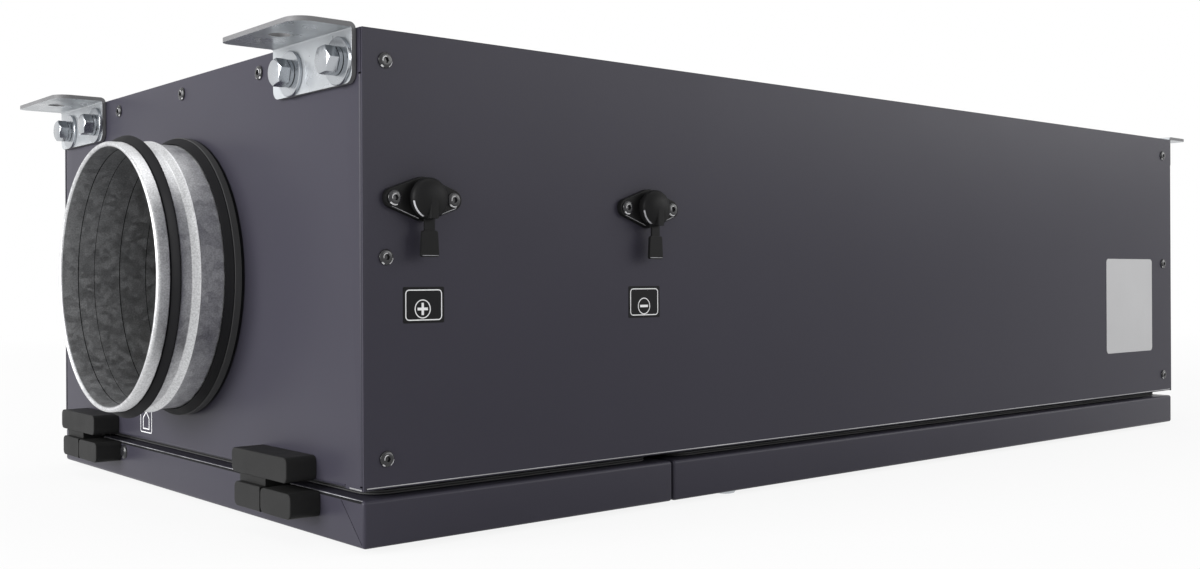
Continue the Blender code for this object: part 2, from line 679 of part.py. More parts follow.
def build_lid(name, low_x, high_x, axle):
    """A folded lid tray with its insulation slab and the gasket on its lips."""
    tray = folded_tray(name, (low_x, -HALF_WIDTH), (high_x, HALF_WIDTH), LID_HEIGHT, LID_LIP, GRAPHITE)
    place(tray, (low_x + high_x, 0.0, 0.0), Matrix.Rotation(math.pi, 4, "Y"))
    inner = SHEET + LINING_FIT
    slab = make_object(name + "_insulation",
                       box((low_x + inner, -HALF_WIDTH + inner, inner),
                           (high_x - inner, HALF_WIDTH - inner, LID_HEIGHT - inner)), LINING_FOAM)
    inset = GASKET_INSET + GASKET_WIDTH
    loops = [rounded_rectangle((low_x + GASKET_INSET, -HALF_WIDTH + GASKET_INSET),
                               (high_x - GASKET_INSET, HALF_WIDTH - GASKET_INSET), GASKET_CORNER),
             rounded_rectangle((low_x + inset, -HALF_WIDTH + inset),
                               (high_x - inset, HALF_WIDTH - inset), GASKET_CORNER - GASKET_WIDTH)]
    gasket = plate(name + "_gasket", loops, SEAL_GAP - 2.0 * FIT, RUBBER)
    place(gasket, (0.0, 0.0, LID_HEIGHT + FIT))
    for item in (tray, slab, gasket):
        hang_on(item, axle)


def build_lids():
    """The short and the long lid, each on the two hinges of its own end."""
    spots = (("near", "lid_short", -1.0, 0.0), ("far", "lid_long", 1.0, 180.0))
    for end, lid, sign, turn in spots:
        axle = make_axle(lid + "_axis", sign)
        inner_edge = JOINT_X + sign * LID_JOINT_GAP / 2.0
        low_x, high_x = sorted((sign * HALF_LENGTH, inner_edge))
        build_lid(lid, low_x, high_x, axle)
        for side, y in (("front", -HINGE_Y), ("back", HINGE_Y)):
            build_hinge(f"{end}_{side}", turn, -sign * y, axle)


def build_ports():
    """Two pressure ports: a screwed flange with a collar, closed by a domed cap with a pull strap."""
    ear = PORT_SCREW_SPACING / 2.0
    outline = belt_outline(((-ear, 0.0, PORT_END_RADIUS), (0.0, 0.0, PORT_HUB_RADIUS),
                            (ear, 0.0, PORT_END_RADIUS)))
    for number, distance in enumerate(PORT_PLACES, start=1):
        port = plate(f"pressure_port_{number}", [outline], PORT_SHEET, BLACK_PLASTIC)
        neck = cylinder(NECK_RADIUS, (0.0, 0.0, PORT_SHEET / 2.0),
                        (0.0, 0.0, PORT_SHEET + NECK_RISE), SMALL_TURN_STEPS)
        boolean(port, make_cutter(f"port_neck_{number}", neck), "UNION")
        spot = (distance - HALF_LENGTH, -HALF_WIDTH - FIT, TOP_Z - PORT_DROP)
        place(port, spot, side_axes(-1.0))

        seat = PORT_SHEET + NECK_RISE + FIT
        dome = [(0.0, seat + CAP_RISE)]
        for angle in (75.0, 60.0, 45.0, 30.0, 15.0, 0.0):
            turn = math.radians(angle)
            dome.append((CAP_RADIUS * math.cos(turn), seat + CAP_RIM + (CAP_RISE - CAP_RIM) * math.sin(turn)))
        dome += [(CAP_RADIUS, seat), (0.0, seat)]
        cap = turned(f"port_cap_{number}", dome, False, BLACK_PLASTIC, SMALL_TURN_STEPS)
        rib = box((-RIB_WIDTH / 2.0, -CAP_RADIUS * 0.95, seat + CAP_RIM / 2.0),
                  (RIB_WIDTH / 2.0, -CAP_RADIUS * 0.25, seat + CAP_RISE * 0.85))
        boolean(cap, make_cutter(f"port_rib_{number}", rib), "UNION")
        strap_end = -CAP_RADIUS - STRAP_LENGTH
        narrow = STRAP_WIDTH / 2.0
        wide = TAB_WIDTH / 2.0
        strap = extrude_flat([(-narrow, -CAP_RADIUS * 0.7), (-narrow, strap_end - STRAP_SHEET),
                              (narrow, strap_end - STRAP_SHEET), (narrow, -CAP_RADIUS * 0.7)],
                             seat + FIT, STRAP_SHEET)
        boolean(cap, make_cutter(f"port_strap_{number}", strap), "UNION")
        tab = extrude_flat([(-wide * 0.85, strap_end), (-wide, strap_end - TAB_LENGTH),
                            (wide, strap_end - TAB_LENGTH), (wide * 0.85, strap_end)], seat, TAB_SHEET)
        boolean(cap, make_cutter(f"port_tab_{number}", tab), "UNION")
        place(cap, spot, side_axes(-1.0))


def extrude_flat(outline, low_z, thickness):
    """A solid bmesh from an outline in X and Y, drawn out along Z."""
    mesh = bmesh.new()
    face = mesh.faces.new([mesh.verts.new((x, y, low_z)) for x, y in outline])
    grown = bmesh.ops.extrude_face_region(mesh, geom=[face])
    verts = [item for item in grown["geom"] if isinstance(item, bmesh.types.BMVert)]
    bmesh.ops.translate(mesh, vec=(0.0, 0.0, thickness), verts=verts)
    bmesh.ops.recalc_face_normals(mesh, faces=mesh.faces)
    return mesh


clear_scene()
PARTS = make_collection("air_handling_unit")
CUTTERS = make_collection("cutters")
build_casing()
build_lining()
build_spigots()
build_brackets()
build_lids()
build_ports()
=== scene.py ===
"""Looks of a flat ceiling-hung air handling unit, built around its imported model.

The casing is folded graphite sheet with a galvanised duct spigot at each end, two hinged lids
underneath, four zinc-plated hanging brackets and two capped pressure ports on the front side.
All sizes are in metres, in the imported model's own frame: X along the air path with the near end at
-X, the front side at -Y, and +Z up from the underside of the lids.
"""

import logging
import math
from dataclasses import dataclass, field
from enum import Enum
from typing import Iterable, Optional, Sequence

import bmesh
import bpy
from mathutils import Matrix, Vector


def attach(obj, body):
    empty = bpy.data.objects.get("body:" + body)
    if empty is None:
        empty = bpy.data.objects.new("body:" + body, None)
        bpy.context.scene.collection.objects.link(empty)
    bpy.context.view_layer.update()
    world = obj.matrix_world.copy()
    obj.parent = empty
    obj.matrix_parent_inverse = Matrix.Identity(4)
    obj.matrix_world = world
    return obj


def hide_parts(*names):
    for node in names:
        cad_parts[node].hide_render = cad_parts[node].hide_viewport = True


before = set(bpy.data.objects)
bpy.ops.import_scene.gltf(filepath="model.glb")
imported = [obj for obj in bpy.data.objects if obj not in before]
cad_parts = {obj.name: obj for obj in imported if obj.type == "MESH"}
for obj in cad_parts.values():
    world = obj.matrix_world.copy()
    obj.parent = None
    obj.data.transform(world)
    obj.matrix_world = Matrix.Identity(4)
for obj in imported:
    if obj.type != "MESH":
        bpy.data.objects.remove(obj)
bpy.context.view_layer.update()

LOG = logging.getLogger("air_handling_unit")
Pair = tuple[float, float]
Point = tuple[float, float, float]
Colour = tuple[float, float, float]
Element = bmesh.types.BMVert | bmesh.types.BMEdge

HALF_LENGTH = 0.420
HALF_WIDTH = 0.212
SHEET = 0.0012
BEND = 0.0020
BEND_RELIEF = 0.0008
FIT = 0.0003
LID_HEIGHT = 0.0238
SEAL_GAP = 0.0044
BASE_Z = LID_HEIGHT + SEAL_GAP
TOP_Z = 0.2550
DUCT_Z = 0.1340
DUCT_RADIUS = 0.0795
JOINT_X = -0.210
SIDE_FACE = HALF_WIDTH - SHEET - FIT
END_FACE = HALF_LENGTH - SHEET - FIT
PRINT_LIFT = 0.00007
FLANGE_GAP = 0.0005
LID_GAP = 0.0005
FINE_CUT = 1e-7
TINY = 1e-6


class Body(Enum):
    """The bodies that pieces ride on."""

    HOUSING = "housing"
    SHORT_LID = "lid_short_body"
    LONG_LID = "lid_long_body"


class Slot(Enum):
    """The record's material slots."""

    CASING = "casing"
    LINING = "lining"
    ZINC = "zinc"
    GALVANISED = "galvanised"
    RUBBER = "rubber"
    BLACK_PLASTIC = "black_plastic"


class End(Enum):
    """The two ends of the unit: the sign of X and the turn that brings the near end there."""

    NEAR = (-1.0, 0.0)
    FAR = (1.0, 180.0)

    @property
    def sign(self) -> float:
        """Give the side of X that the end lies on."""
        return self.value[0]

    @property
    def turn(self) -> Matrix:
        """Give the turn about Z that takes a near-end shape to this end."""
        return Matrix.Rotation(math.radians(self.value[1]), 4, "Z")

    @property
    def label(self) -> str:
        """Give the end's word in piece names."""
        return self.name.lower()


class Combine(Enum):
    """How two closed forms are put together."""

    JOIN = "UNION"
    CUT = "DIFFERENCE"
    CROSS = "INTERSECT"


def side_axes(sign: float) -> Matrix:
    """Lay a shape drawn in XY upright on the front (-1) or back (+1) side.

    Args:
        sign: The side of Y.

    Returns:
        The matrix whose local Z points out of the side.
    """
    return Matrix(((1.0, 0.0, 0.0, 0.0), (0.0, 0.0, sign, 0.0), (0.0, 1.0, 0.0, 0.0), (0.0, 0.0, 0.0, 1.0)))


def end_axes(sign: float) -> Matrix:
    """Stand a shape drawn in XY on the near (-1) or far (+1) end.

    Args:
        sign: The side of X.

    Returns:
        The matrix whose local X lies along Y and whose local Z points out of the end.
    """
    return Matrix(((0.0, 0.0, sign, 0.0), (1.0, 0.0, 0.0, 0.0), (0.0, 1.0, 0.0, 0.0), (0.0, 0.0, 0.0, 1.0)))


class Form:
    """A shape in the making, formed by bmesh operators."""

    def __init__(self) -> None:
        """Start with an empty mesh."""
        self.mesh = bmesh.new()

    @classmethod
    def block(cls, low: Point, high: Point) -> "Form":
        """Make a box between two corners.

        Args:
            low: Its lowest corner.
            high: Its highest corner.

        Returns:
            The closed form.
        """
        form = cls()
        bmesh.ops.create_cube(form.mesh, size=1.0)
        size = Vector(high) - Vector(low)
        middle = (Vector(high) + Vector(low)) / 2.0
        return form.placed(Matrix.Translation(middle) @ Matrix.Diagonal((*size, 1.0)))

    @classmethod
    def pillar(cls, radius: float, start: Point, end: Point, segments: int = 48) -> "Form":
        """Make a round bar between two points.

        Args:
            radius: The bar's radius.
            start: The middle of one end.
            end: The middle of the other end.
            segments: How many sides the bar has.

        Returns:
            The closed form.
        """
        form = cls()
        span = Vector(end) - Vector(start)
        bmesh.ops.create_cone(form.mesh, cap_ends=True, segments=segments, radius1=radius,
                              radius2=radius, depth=span.length)
        turn = Vector((0.0, 0.0, 1.0)).rotation_difference(span).to_matrix().to_4x4()
        return form.placed(Matrix.Translation((Vector(start) + Vector(end)) / 2.0) @ turn)

    @classmethod
    def turned(cls, profile: Sequence[Pair], closed: bool = False, steps: int = 160) -> "Form":
        """Turn a profile about Z.

        Args:
            profile: Points of (radius, height) that run down the outer side.
            closed: Whether the last point joins the first.
            steps: How many steps the full turn has.

        Returns:
            The turned form, its faces outwards.
        """
        form = cls()
        form.spun(form.line(profile, closed), math.tau, steps, merge=True)
        return form.welded().outward_from_axis()

    @classmethod
    def arc_band(cls, profile: Sequence[Pair], start: float, end: float, steps: int = 10) -> "Form":
        """Turn a profile about Z over a part of the turn.

        Args:
            profile: Points of (radius, height).
            start: Where the band starts, in degrees from +X.
            end: Where it ends.
            steps: How many steps it has.

        Returns:
            The open sheet, looking up.
        """
        form = cls()
        form.spun(form.line(profile), math.radians(end - start), steps)
        form.mesh.normal_update()
        if sum(face.normal.z for face in form.mesh.faces) < 0.0:
            bmesh.ops.reverse_faces(form.mesh, faces=form.mesh.faces)
        return form.placed(Matrix.Rotation(math.radians(start), 4, "Z"))

    @classmethod
    def flat(cls, low: Pair, high: Pair, corner: float = 0.0, steps: int = 6) -> "Form":
        """Make one flat face in the XY plane.

        Args:
            low: Its lowest corner.
            high: Its highest corner.
            corner: The radius of its corners.
            steps: How many steps a corner has.

        Returns:
            The open form, looking along +Z.
        """
        form = cls()
        bmesh.ops.create_grid(form.mesh, x_segments=1, y_segments=1, size=0.5)
        middle = Vector(((low[0] + high[0]) / 2.0, (low[1] + high[1]) / 2.0, 0.0))
        size = (high[0] - low[0], high[1] - low[1], 1.0, 1.0)
        form.placed(Matrix.Translation(middle) @ Matrix.Diagonal(size))
        if corner > 0.0:
            form.round_corners(form.mesh.verts[:], corner, steps)
        return form

    @classmethod
    def disc(cls, radius: float, segments: int = 64) -> "Form":
        """Make a flat round face in the XY plane.

        Args:
            radius: Its radius.
            segments: How many corners it has.

        Returns:
            The open form, looking along +Z.
        """
        form = cls()
        bmesh.ops.create_circle(form.mesh, cap_ends=True, radius=radius, segments=segments)
        return form.looking_up()

    @classmethod
    def framed(cls, profile: Sequence[Pair], low: Pair, high: Pair, corner: float) -> "Form":
        """Sweep a closed profile round a rectangle with round corners.

        Args:
            profile: Points of (distance outwards from the path, height).
            low: The path's lowest corner.
            high: The path's highest corner.
            corner: The path's corner radius.

        Returns:
            The closed ring.
        """
        form = cls()
        mesh = form.mesh
        middle = (low[0] + high[0]) / 2.0
        verts = [mesh.verts.new((middle, low[1] - out, height)) for out, height in profile]
        edges = [mesh.edges.new(pair) for pair in zip(verts, verts[1:] + verts[:1])]
        spots = ((high[0] - corner, low[1] + corner), (high[0] - corner, high[1] - corner),
                 (low[0] + corner, high[1] - corner), (low[0] + corner, low[1] + corner))
        place = Vector((middle, low[1], 0.0))
        for number, spot in enumerate(spots):
            quarter = Matrix.Rotation(math.pi / 2.0 * number, 3, "Z")
            target = Vector((*spot, 0.0)) + quarter @ Vector((0.0, -corner, 0.0))
            verts, edges = form.drawn_out(edges, target - place)
            edges = form.spun([*verts, *edges], math.pi / 2.0, 8, centre=(*spot, 0.0))
            place = Vector((*spot, 0.0)) + quarter @ Vector((corner, 0.0, 0.0))
        form.drawn_out(edges, Vector((middle, low[1], 0.0)) - place)
        return form.welded().outward()

    def line(self, profile: Sequence[Pair], closed: bool = False) -> list[Element]:
        """Draw a line of points in the XZ plane.

        Args:
            profile: The points, as (radius, height).
            closed: Whether the last point joins the first.

        Returns:
            Its vertices and edges.
        """
        verts = [self.mesh.verts.new((radius, 0.0, height)) for radius, height in profile]
        edges = [self.mesh.edges.new(pair) for pair in zip(verts, verts[1:])]
        if closed:
            edges.append(self.mesh.edges.new((verts[-1], verts[0])))
        return [*verts, *edges]

    def spun(self, geom: Sequence[Element], angle: float, steps: int, centre: Point = (0.0, 0.0, 0.0),
             axis: Point = (0.0, 0.0, 1.0), rise: float = 0.0, merge: bool = False) -> list[bmesh.types.BMEdge]:
        """Spin vertices and edges about an axis.

        Args:
            geom: The vertices and edges.
            angle: The turn.
            steps: How many steps it has.
            centre: A point on the axis.
            axis: The axis.
            rise: How far each step climbs along Z.
            merge: Whether the end of a full turn joins its start.

        Returns:
            The edges at the end of the turn.
        """
        made = bmesh.ops.spin(self.mesh, geom=list(geom), cent=centre, axis=axis, dvec=(0.0, 0.0, rise),
                              angle=angle, steps=steps, use_merge=merge, use_normal_flip=False,
                              use_duplicate=False)
        return [item for item in made["geom_last"] if isinstance(item, bmesh.types.BMEdge)]

    def drawn_out(self, edges: Sequence[bmesh.types.BMEdge],
                  move: Vector) -> tuple[list[bmesh.types.BMVert], list[bmesh.types.BMEdge]]:
        """Extrude edges and shift the new ones.

        Args:
            edges: The edges to extrude.
            move: The shift.

        Returns:
            The new vertices and the new edges.
        """
        grown = bmesh.ops.extrude_edge_only(self.mesh, edges=list(edges))["geom"]
        verts = [item for item in grown if isinstance(item, bmesh.types.BMVert)]
        bmesh.ops.translate(self.mesh, vec=move, verts=verts)
        return verts, [item for item in grown if isinstance(item, bmesh.types.BMEdge)]

    def placed(self, matrix: Matrix) -> "Form":
        """Move, turn, scale or mirror the whole form.

        Args:
            matrix: The transform.

        Returns:
            The form itself.
        """
        bmesh.ops.transform(self.mesh, matrix=matrix, verts=self.mesh.verts)
        if matrix.to_3x3().determinant() < 0.0:
            bmesh.ops.reverse_faces(self.mesh, faces=self.mesh.faces)
        self.mesh.normal_update()
        return self

    def moved(self, x: float = 0.0, y: float = 0.0, z: float = 0.0) -> "Form":
        """Shift the form and give it back."""
        return self.placed(Matrix.Translation((x, y, z)))

    def welded(self, distance: float = TINY) -> "Form":
        """Merge the vertices that lie on each other and give the form back."""
        bmesh.ops.remove_doubles(self.mesh, verts=self.mesh.verts, dist=distance)
        bmesh.ops.dissolve_degenerate(self.mesh, dist=distance / 10.0, edges=self.mesh.edges)
        return self

    def outward(self) -> "Form":
        """Turn a closed form's faces outwards and give it back."""
        bmesh.ops.recalc_face_normals(self.mesh, faces=self.mesh.faces)
        return self

    def outward_from_axis(self) -> "Form":
        """Turn a spun form's faces the right way, judged by its widest ring.

        Returns:
            The form itself.
        """
        self.outward()
        self.mesh.normal_update()
        widest = max(self.mesh.faces, key=lambda face: face.calc_center_median().xy.length
                     * (0.2 + face.normal.xy.length))
        if widest.normal.xy.dot(widest.calc_center_median().xy) < 0.0:
            bmesh.ops.reverse_faces(self.mesh, faces=self.mesh.faces)
        return self

    def looking_up(self) -> "Form":
        """Turn an open sheet so that its largest level face looks along +Z.

        Returns:
            The form itself.
        """
        self.outward()
        self.mesh.normal_update()
        main = max(self.mesh.faces, key=lambda face: face.calc_area() * abs(face.normal.z))
        if main.normal.z < 0.0:
            bmesh.ops.reverse_faces(self.mesh, faces=self.mesh.faces)
        return self

    def round_corners(self, verts: Sequence[bmesh.types.BMVert], radius: float, steps: int = 6) -> "Form":
        """Round corners of a flat form.

        Args:
            verts: The corners.
            radius: Their radius.
            steps: How many steps each has.

        Returns:
            The form itself.
        """
        bmesh.ops.bevel(self.mesh, geom=list(verts), offset=radius, offset_type="OFFSET", segments=steps,
                        profile=0.5, affect="VERTICES", clamp_overlap=True, material=-1)
        return self

    def round_edges(self, edges: Iterable[bmesh.types.BMEdge], radius: float, steps: int = 4) -> "Form":
        """Round edges of a solid form or folds of a sheet.

        Args:
            edges: The edges.
            radius: Their radius.
            steps: How many steps each has.

        Returns:
            The form itself.
        """
        bmesh.ops.bevel(self.mesh, geom=list(edges), offset=radius, offset_type="OFFSET", segments=steps,
                        profile=0.5, affect="EDGES", clamp_overlap=True, material=-1)
        return self

    def sharp_edges(self, angle: float = 50.0) -> list[bmesh.types.BMEdge]:
        """Find the edges where the surface turns by more than an angle in degrees."""
        self.mesh.normal_update()
        return [edge for edge in self.mesh.edges if len(edge.link_faces) == 2
                and edge.calc_face_angle() > math.radians(angle)]

    def edges_along(self, axis: int) -> list[bmesh.types.BMEdge]:
        """Find the edges that run along one axis."""
        return [edge for edge in self.mesh.edges
                if abs(edge.verts[0].co[axis] - edge.verts[1].co[axis]) > 0.9 * edge.calc_length()]

    def pierced(self, holes: Sequence[tuple[float, float, float]], steps: int = 48) -> "Form":
        """Fill the flat outline anew so that it leaves round holes.

        Args:
            holes: The holes as (x, y, radius).
            steps: How many steps each hole has.

        Returns:
            The form itself, looking along +Z.
        """
        bmesh.ops.delete(self.mesh, geom=self.mesh.faces[:], context="FACES_ONLY")
        for x, y, radius in holes:
            bmesh.ops.create_circle(self.mesh, cap_ends=False, radius=radius, segments=steps,
                                    matrix=Matrix.Translation((x, y, 0.0)))
        bmesh.ops.triangle_fill(self.mesh, use_beauty=True, use_dissolve=False, edges=self.mesh.edges[:],
                                normal=(0.0, 0.0, 1.0))
        return self.looking_up()

    def opened(self, line: float) -> "Form":
        """Leave only a line of a given width along the flat outline.

        Args:
            line: The width of the line.

        Returns:
            The form itself.
        """
        main = max(self.mesh.faces, key=lambda face: face.calc_area())
        bmesh.ops.inset_region(self.mesh, faces=[main], thickness=line, depth=0.0, use_even_offset=True,
                               use_boundary=True)
        bmesh.ops.delete(self.mesh, geom=[main], context="FACES")
        return self

    def raised(self, height: float) -> "Form":
        """Give a single flat face a thickness along +Z.

        Args:
            height: The thickness.

        Returns:
            The closed form.
        """
        grown = bmesh.ops.extrude_face_region(self.mesh, geom=self.mesh.faces[:])["geom"]
        verts = [item for item in grown if isinstance(item, bmesh.types.BMVert)]
        bmesh.ops.translate(self.mesh, vec=(0.0, 0.0, height), verts=verts)
        return self.outward()

    def folded(self, axis: int, place: float, start: float, end: float, depth: float) -> "Form":
        """Fold a flap down, over a round bend, from an edge of the flat sheet, notched beside its ends.

        Args:
            axis: The axis that the edge lies across, 0 or 1.
            place: Where the edge lies on that axis.
            start: Where the flap starts along the edge.
            end: Where the flap ends along the edge.
            depth: How far the flap reaches down.

        Returns:
            The form itself.
        """
        along = 1 - axis
        spread = [vert.co[axis] for vert in self.mesh.verts]
        out = math.copysign(1.0, place - (min(spread) + max(spread)) / 2.0)
        bend = place - out * BEND
        cuts = [(along, spot) for spot in (start - BEND_RELIEF, start, end, end + BEND_RELIEF)]
        for direction, cut in (*cuts, (axis, bend)):
            point = Vector((0.0, 0.0, 0.0))
            normal = Vector((0.0, 0.0, 0.0))
            point[direction], normal[direction] = cut, 1.0
            flat = [face for face in self.mesh.faces if abs(face.calc_center_median().z) < TINY]
            edges = {edge for face in flat for edge in face.edges}
            verts = {vert for face in flat for vert in face.verts}
            bmesh.ops.bisect_plane(self.mesh, geom=[*verts, *edges, *flat], dist=FINE_CUT, plane_co=point,
                                   plane_no=normal)
        strip = []
        for face in self.mesh.faces:
            spot = face.calc_center_median()
            within = start - BEND_RELIEF < spot[along] < end + BEND_RELIEF
            if within and (spot[axis] - bend) * out > 0.0 and abs(spot.z) < TINY:
                strip.append(face)
        bmesh.ops.delete(self.mesh, geom=strip, context="FACES")
        edges = [edge for edge in self.mesh.edges if edge.is_boundary
                 and all(abs(vert.co[axis] - bend) < TINY and abs(vert.co.z) < TINY
                         and start - TINY <= vert.co[along] <= end + TINY for vert in edge.verts)]
        centre = Vector((0.0, 0.0, -BEND))
        centre[axis] = bend
        turn = Vector((0.0, 0.0, 0.0))
        turn[along] = out if axis == 0 else -out
        verts = {vert for edge in edges for vert in edge.verts}
        last = self.spun([*verts, *edges], math.pi / 2.0, 6, centre=centre, axis=turn)
        self.drawn_out(last, Vector((0.0, 0.0, BEND - depth)))
        return self.welded(FINE_CUT).looking_up()

    def slit(self, face: bmesh.types.BMFace, spot: Point, across: Point, width: float) -> "Form":
        """Cut a straight slit right across a flat face of a sheet.

        Args:
            face: The face.
            spot: A point on the slit's middle line.
            across: The direction in the face that the slit's width lies along.
            width: The slit's width.

        Returns:
            The form itself.
        """
        normal = Vector(across).normalized()
        faces = [face]
        for shift in (-width / 2.0, width / 2.0):
            edges = {edge for item in faces for edge in item.edges}
            verts = {vert for item in faces for vert in item.verts}
            cut = bmesh.ops.bisect_plane(self.mesh, geom=[*verts, *edges, *faces], dist=FINE_CUT,
                                         plane_co=Vector(spot) + normal * shift, plane_no=normal)
            faces = [item for item in cut["geom"] if isinstance(item, bmesh.types.BMFace)]
        strip = [item for item in faces
                 if abs((item.calc_center_median() - Vector(spot)).dot(normal)) < width / 2.0]
        bmesh.ops.delete(self.mesh, geom=strip, context="FACES")
        return self

    def hexagonal(self, radius: float, chamfer_from: Optional[float] = None) -> "Form":
        """Push the rings of one radius out of the round, to a hexagon with that corner radius.

        Args:
            radius: The rings' radius.
            chamfer_from: The radius from which a cone of 30 degrees takes off the upper corners.

        Returns:
            The form itself.
        """
        high = max(vert.co.z for vert in self.mesh.verts)
        for vert in self.mesh.verts:
            if abs(vert.co.xy.length - radius) > 1e-5:
                continue
            angle = math.atan2(vert.co.y, vert.co.x) % (math.pi / 3.0) - math.pi / 6.0
            scale = math.cos(math.pi / 6.0) / math.cos(angle)
            vert.co.x *= scale
            vert.co.y *= scale
            if chamfer_from is not None and vert.co.z > high / 2.0:
                vert.co.z = high - (radius * scale - chamfer_from) * math.tan(math.radians(30.0))
        return self

    def joined(self, *others: "Form") -> "Form":
        """Take other forms in as they are.

        Args:
            others: The forms, which are used up.

        Returns:
            The form itself.
        """
        for other in others:
            loose = bpy.data.meshes.new("loose")
            other.mesh.to_mesh(loose)
            self.mesh.from_mesh(loose)
            bpy.data.meshes.remove(loose)
            other.mesh.free()
        return self

    def combined(self, other: "Form", how: Combine) -> "Form":
        """Put this closed form together with another one.

        Args:
            other: The other closed form, which is used up.
            how: What is kept of the two.

        Returns:
            The form itself.
        """
        items = []
        for name, form in (("base", self), ("tool", other)):
            data = bpy.data.meshes.new(name)
            form.mesh.to_mesh(data)
            form.mesh.free()
            items.append(bpy.data.objects.new(name, data))
            bpy.context.scene.collection.objects.link(items[-1])
        step = items[0].modifiers.new("combine", "BOOLEAN")
        step.operation = how.value
        step.solver = "EXACT"
        step.object = items[1]
        graph = bpy.context.evaluated_depsgraph_get()
        graph.update()
        made = bpy.data.meshes.new_from_object(items[0].evaluated_get(graph))
        self.mesh = bmesh.new()
        self.mesh.from_mesh(made)
        for item in items:
            data = item.data
            bpy.data.objects.remove(item, do_unlink=True)
            bpy.data.meshes.remove(data)
        bpy.data.meshes.remove(made)
        bmesh.ops.dissolve_limit(self.mesh, angle_limit=math.radians(0.5), verts=self.mesh.verts,
                                 edges=self.mesh.edges)
        return self.welded()


class Nodes:
    """A material's or a world's node tree."""

    def __init__(self, tree: bpy.types.NodeTree) -> None:
        """Take over the tree and empty it."""
        self.tree = tree
        self.tree.nodes.clear()

    def add(self, kind: str, settings: Optional[dict] = None, **sockets: object) -> bpy.types.Node:
        """Add a node.

        Args:
            kind: The node's type.
            settings: Its own properties.
            sockets: Its inputs by name, with _ for a space: a value, or a socket to link from.

        Returns:
            The node.
        """
        node = self.tree.nodes.new(kind)
        for key, value in (settings or {}).items():
            setattr(node, key, value)
        for key, value in sockets.items():
            socket = node.inputs[int(key[1:])] if key[0] == "n" and key[1:].isdigit() \
                else node.inputs[key.replace("_", " ")]
            if isinstance(value, bpy.types.NodeSocket):
                self.tree.links.new(value, socket)
            else:
                socket.default_value = value
        return node

    def maths(self, operation: str, first: object, second: object, clamp: bool = False) -> bpy.types.NodeSocket:
        """Add a sum, a product or the like of two values and give its result."""
        node = self.add("ShaderNodeMath", {"operation": operation, "use_clamp": clamp}, n0=first, n1=second)
        return node.outputs[0]

    def bump(self, distance: float, height: bpy.types.NodeSocket, **sockets: object) -> bpy.types.NodeSocket:
        """Add a relief of a given depth, over another where a Normal is given, and give its normal."""
        return self.add("ShaderNodeBump", Strength=1.0, Distance=distance, Height=height, **sockets).outputs[0]

    def ramp(self, factor: bpy.types.NodeSocket, low: float, high: float,
             from_low: float = 0.35, from_high: float = 0.65) -> bpy.types.NodeSocket:
        """Stretch a pattern between two values.

        Args:
            factor: The pattern.
            low: The value at its low end.
            high: The value at its high end.
            from_low: Where the pattern counts as low.
            from_high: Where the pattern counts as high.

        Returns:
            The stretched pattern.
        """
        node = self.add("ShaderNodeMapRange", Value=factor, From_Min=from_low, From_Max=from_high,
                        To_Min=low, To_Max=high)
        return node.outputs["Result"]

    def noise(self, scale: float, stretch: Point = (1.0, 1.0, 1.0), detail: float = 3.0,
              roughness: float = 0.55) -> bpy.types.NodeSocket:
        """Lay a noise pattern through the object's own space.

        Args:
            scale: How many grains there are to a metre.
            stretch: How the grains are squeezed along each axis.
            detail: How many finer layers the pattern has.
            roughness: How strong the finer layers are.

        Returns:
            The pattern.
        """
        place = self.add("ShaderNodeTexCoord").outputs["Object"]
        if stretch != (1.0, 1.0, 1.0):
            place = self.add("ShaderNodeMapping", Vector=place, Scale=stretch).outputs["Vector"]
        return self.add("ShaderNodeTexNoise", Vector=place, Scale=scale, Detail=detail,
                        Roughness=roughness).outputs["Fac"]

    def cells(self, scale: float) -> bpy.types.NodeSocket:
        """Lay crystal-like cells of one random tone each through the object's own space.

        Args:
            scale: How many cells there are to a metre.

        Returns:
            The cells' tone.
        """
        place = self.add("ShaderNodeTexCoord").outputs["Object"]
        node = self.add("ShaderNodeTexVoronoi", Vector=place, Scale=scale)
        split = self.add("ShaderNodeSeparateColor", Color=node.outputs["Color"])
        return split.outputs[0]


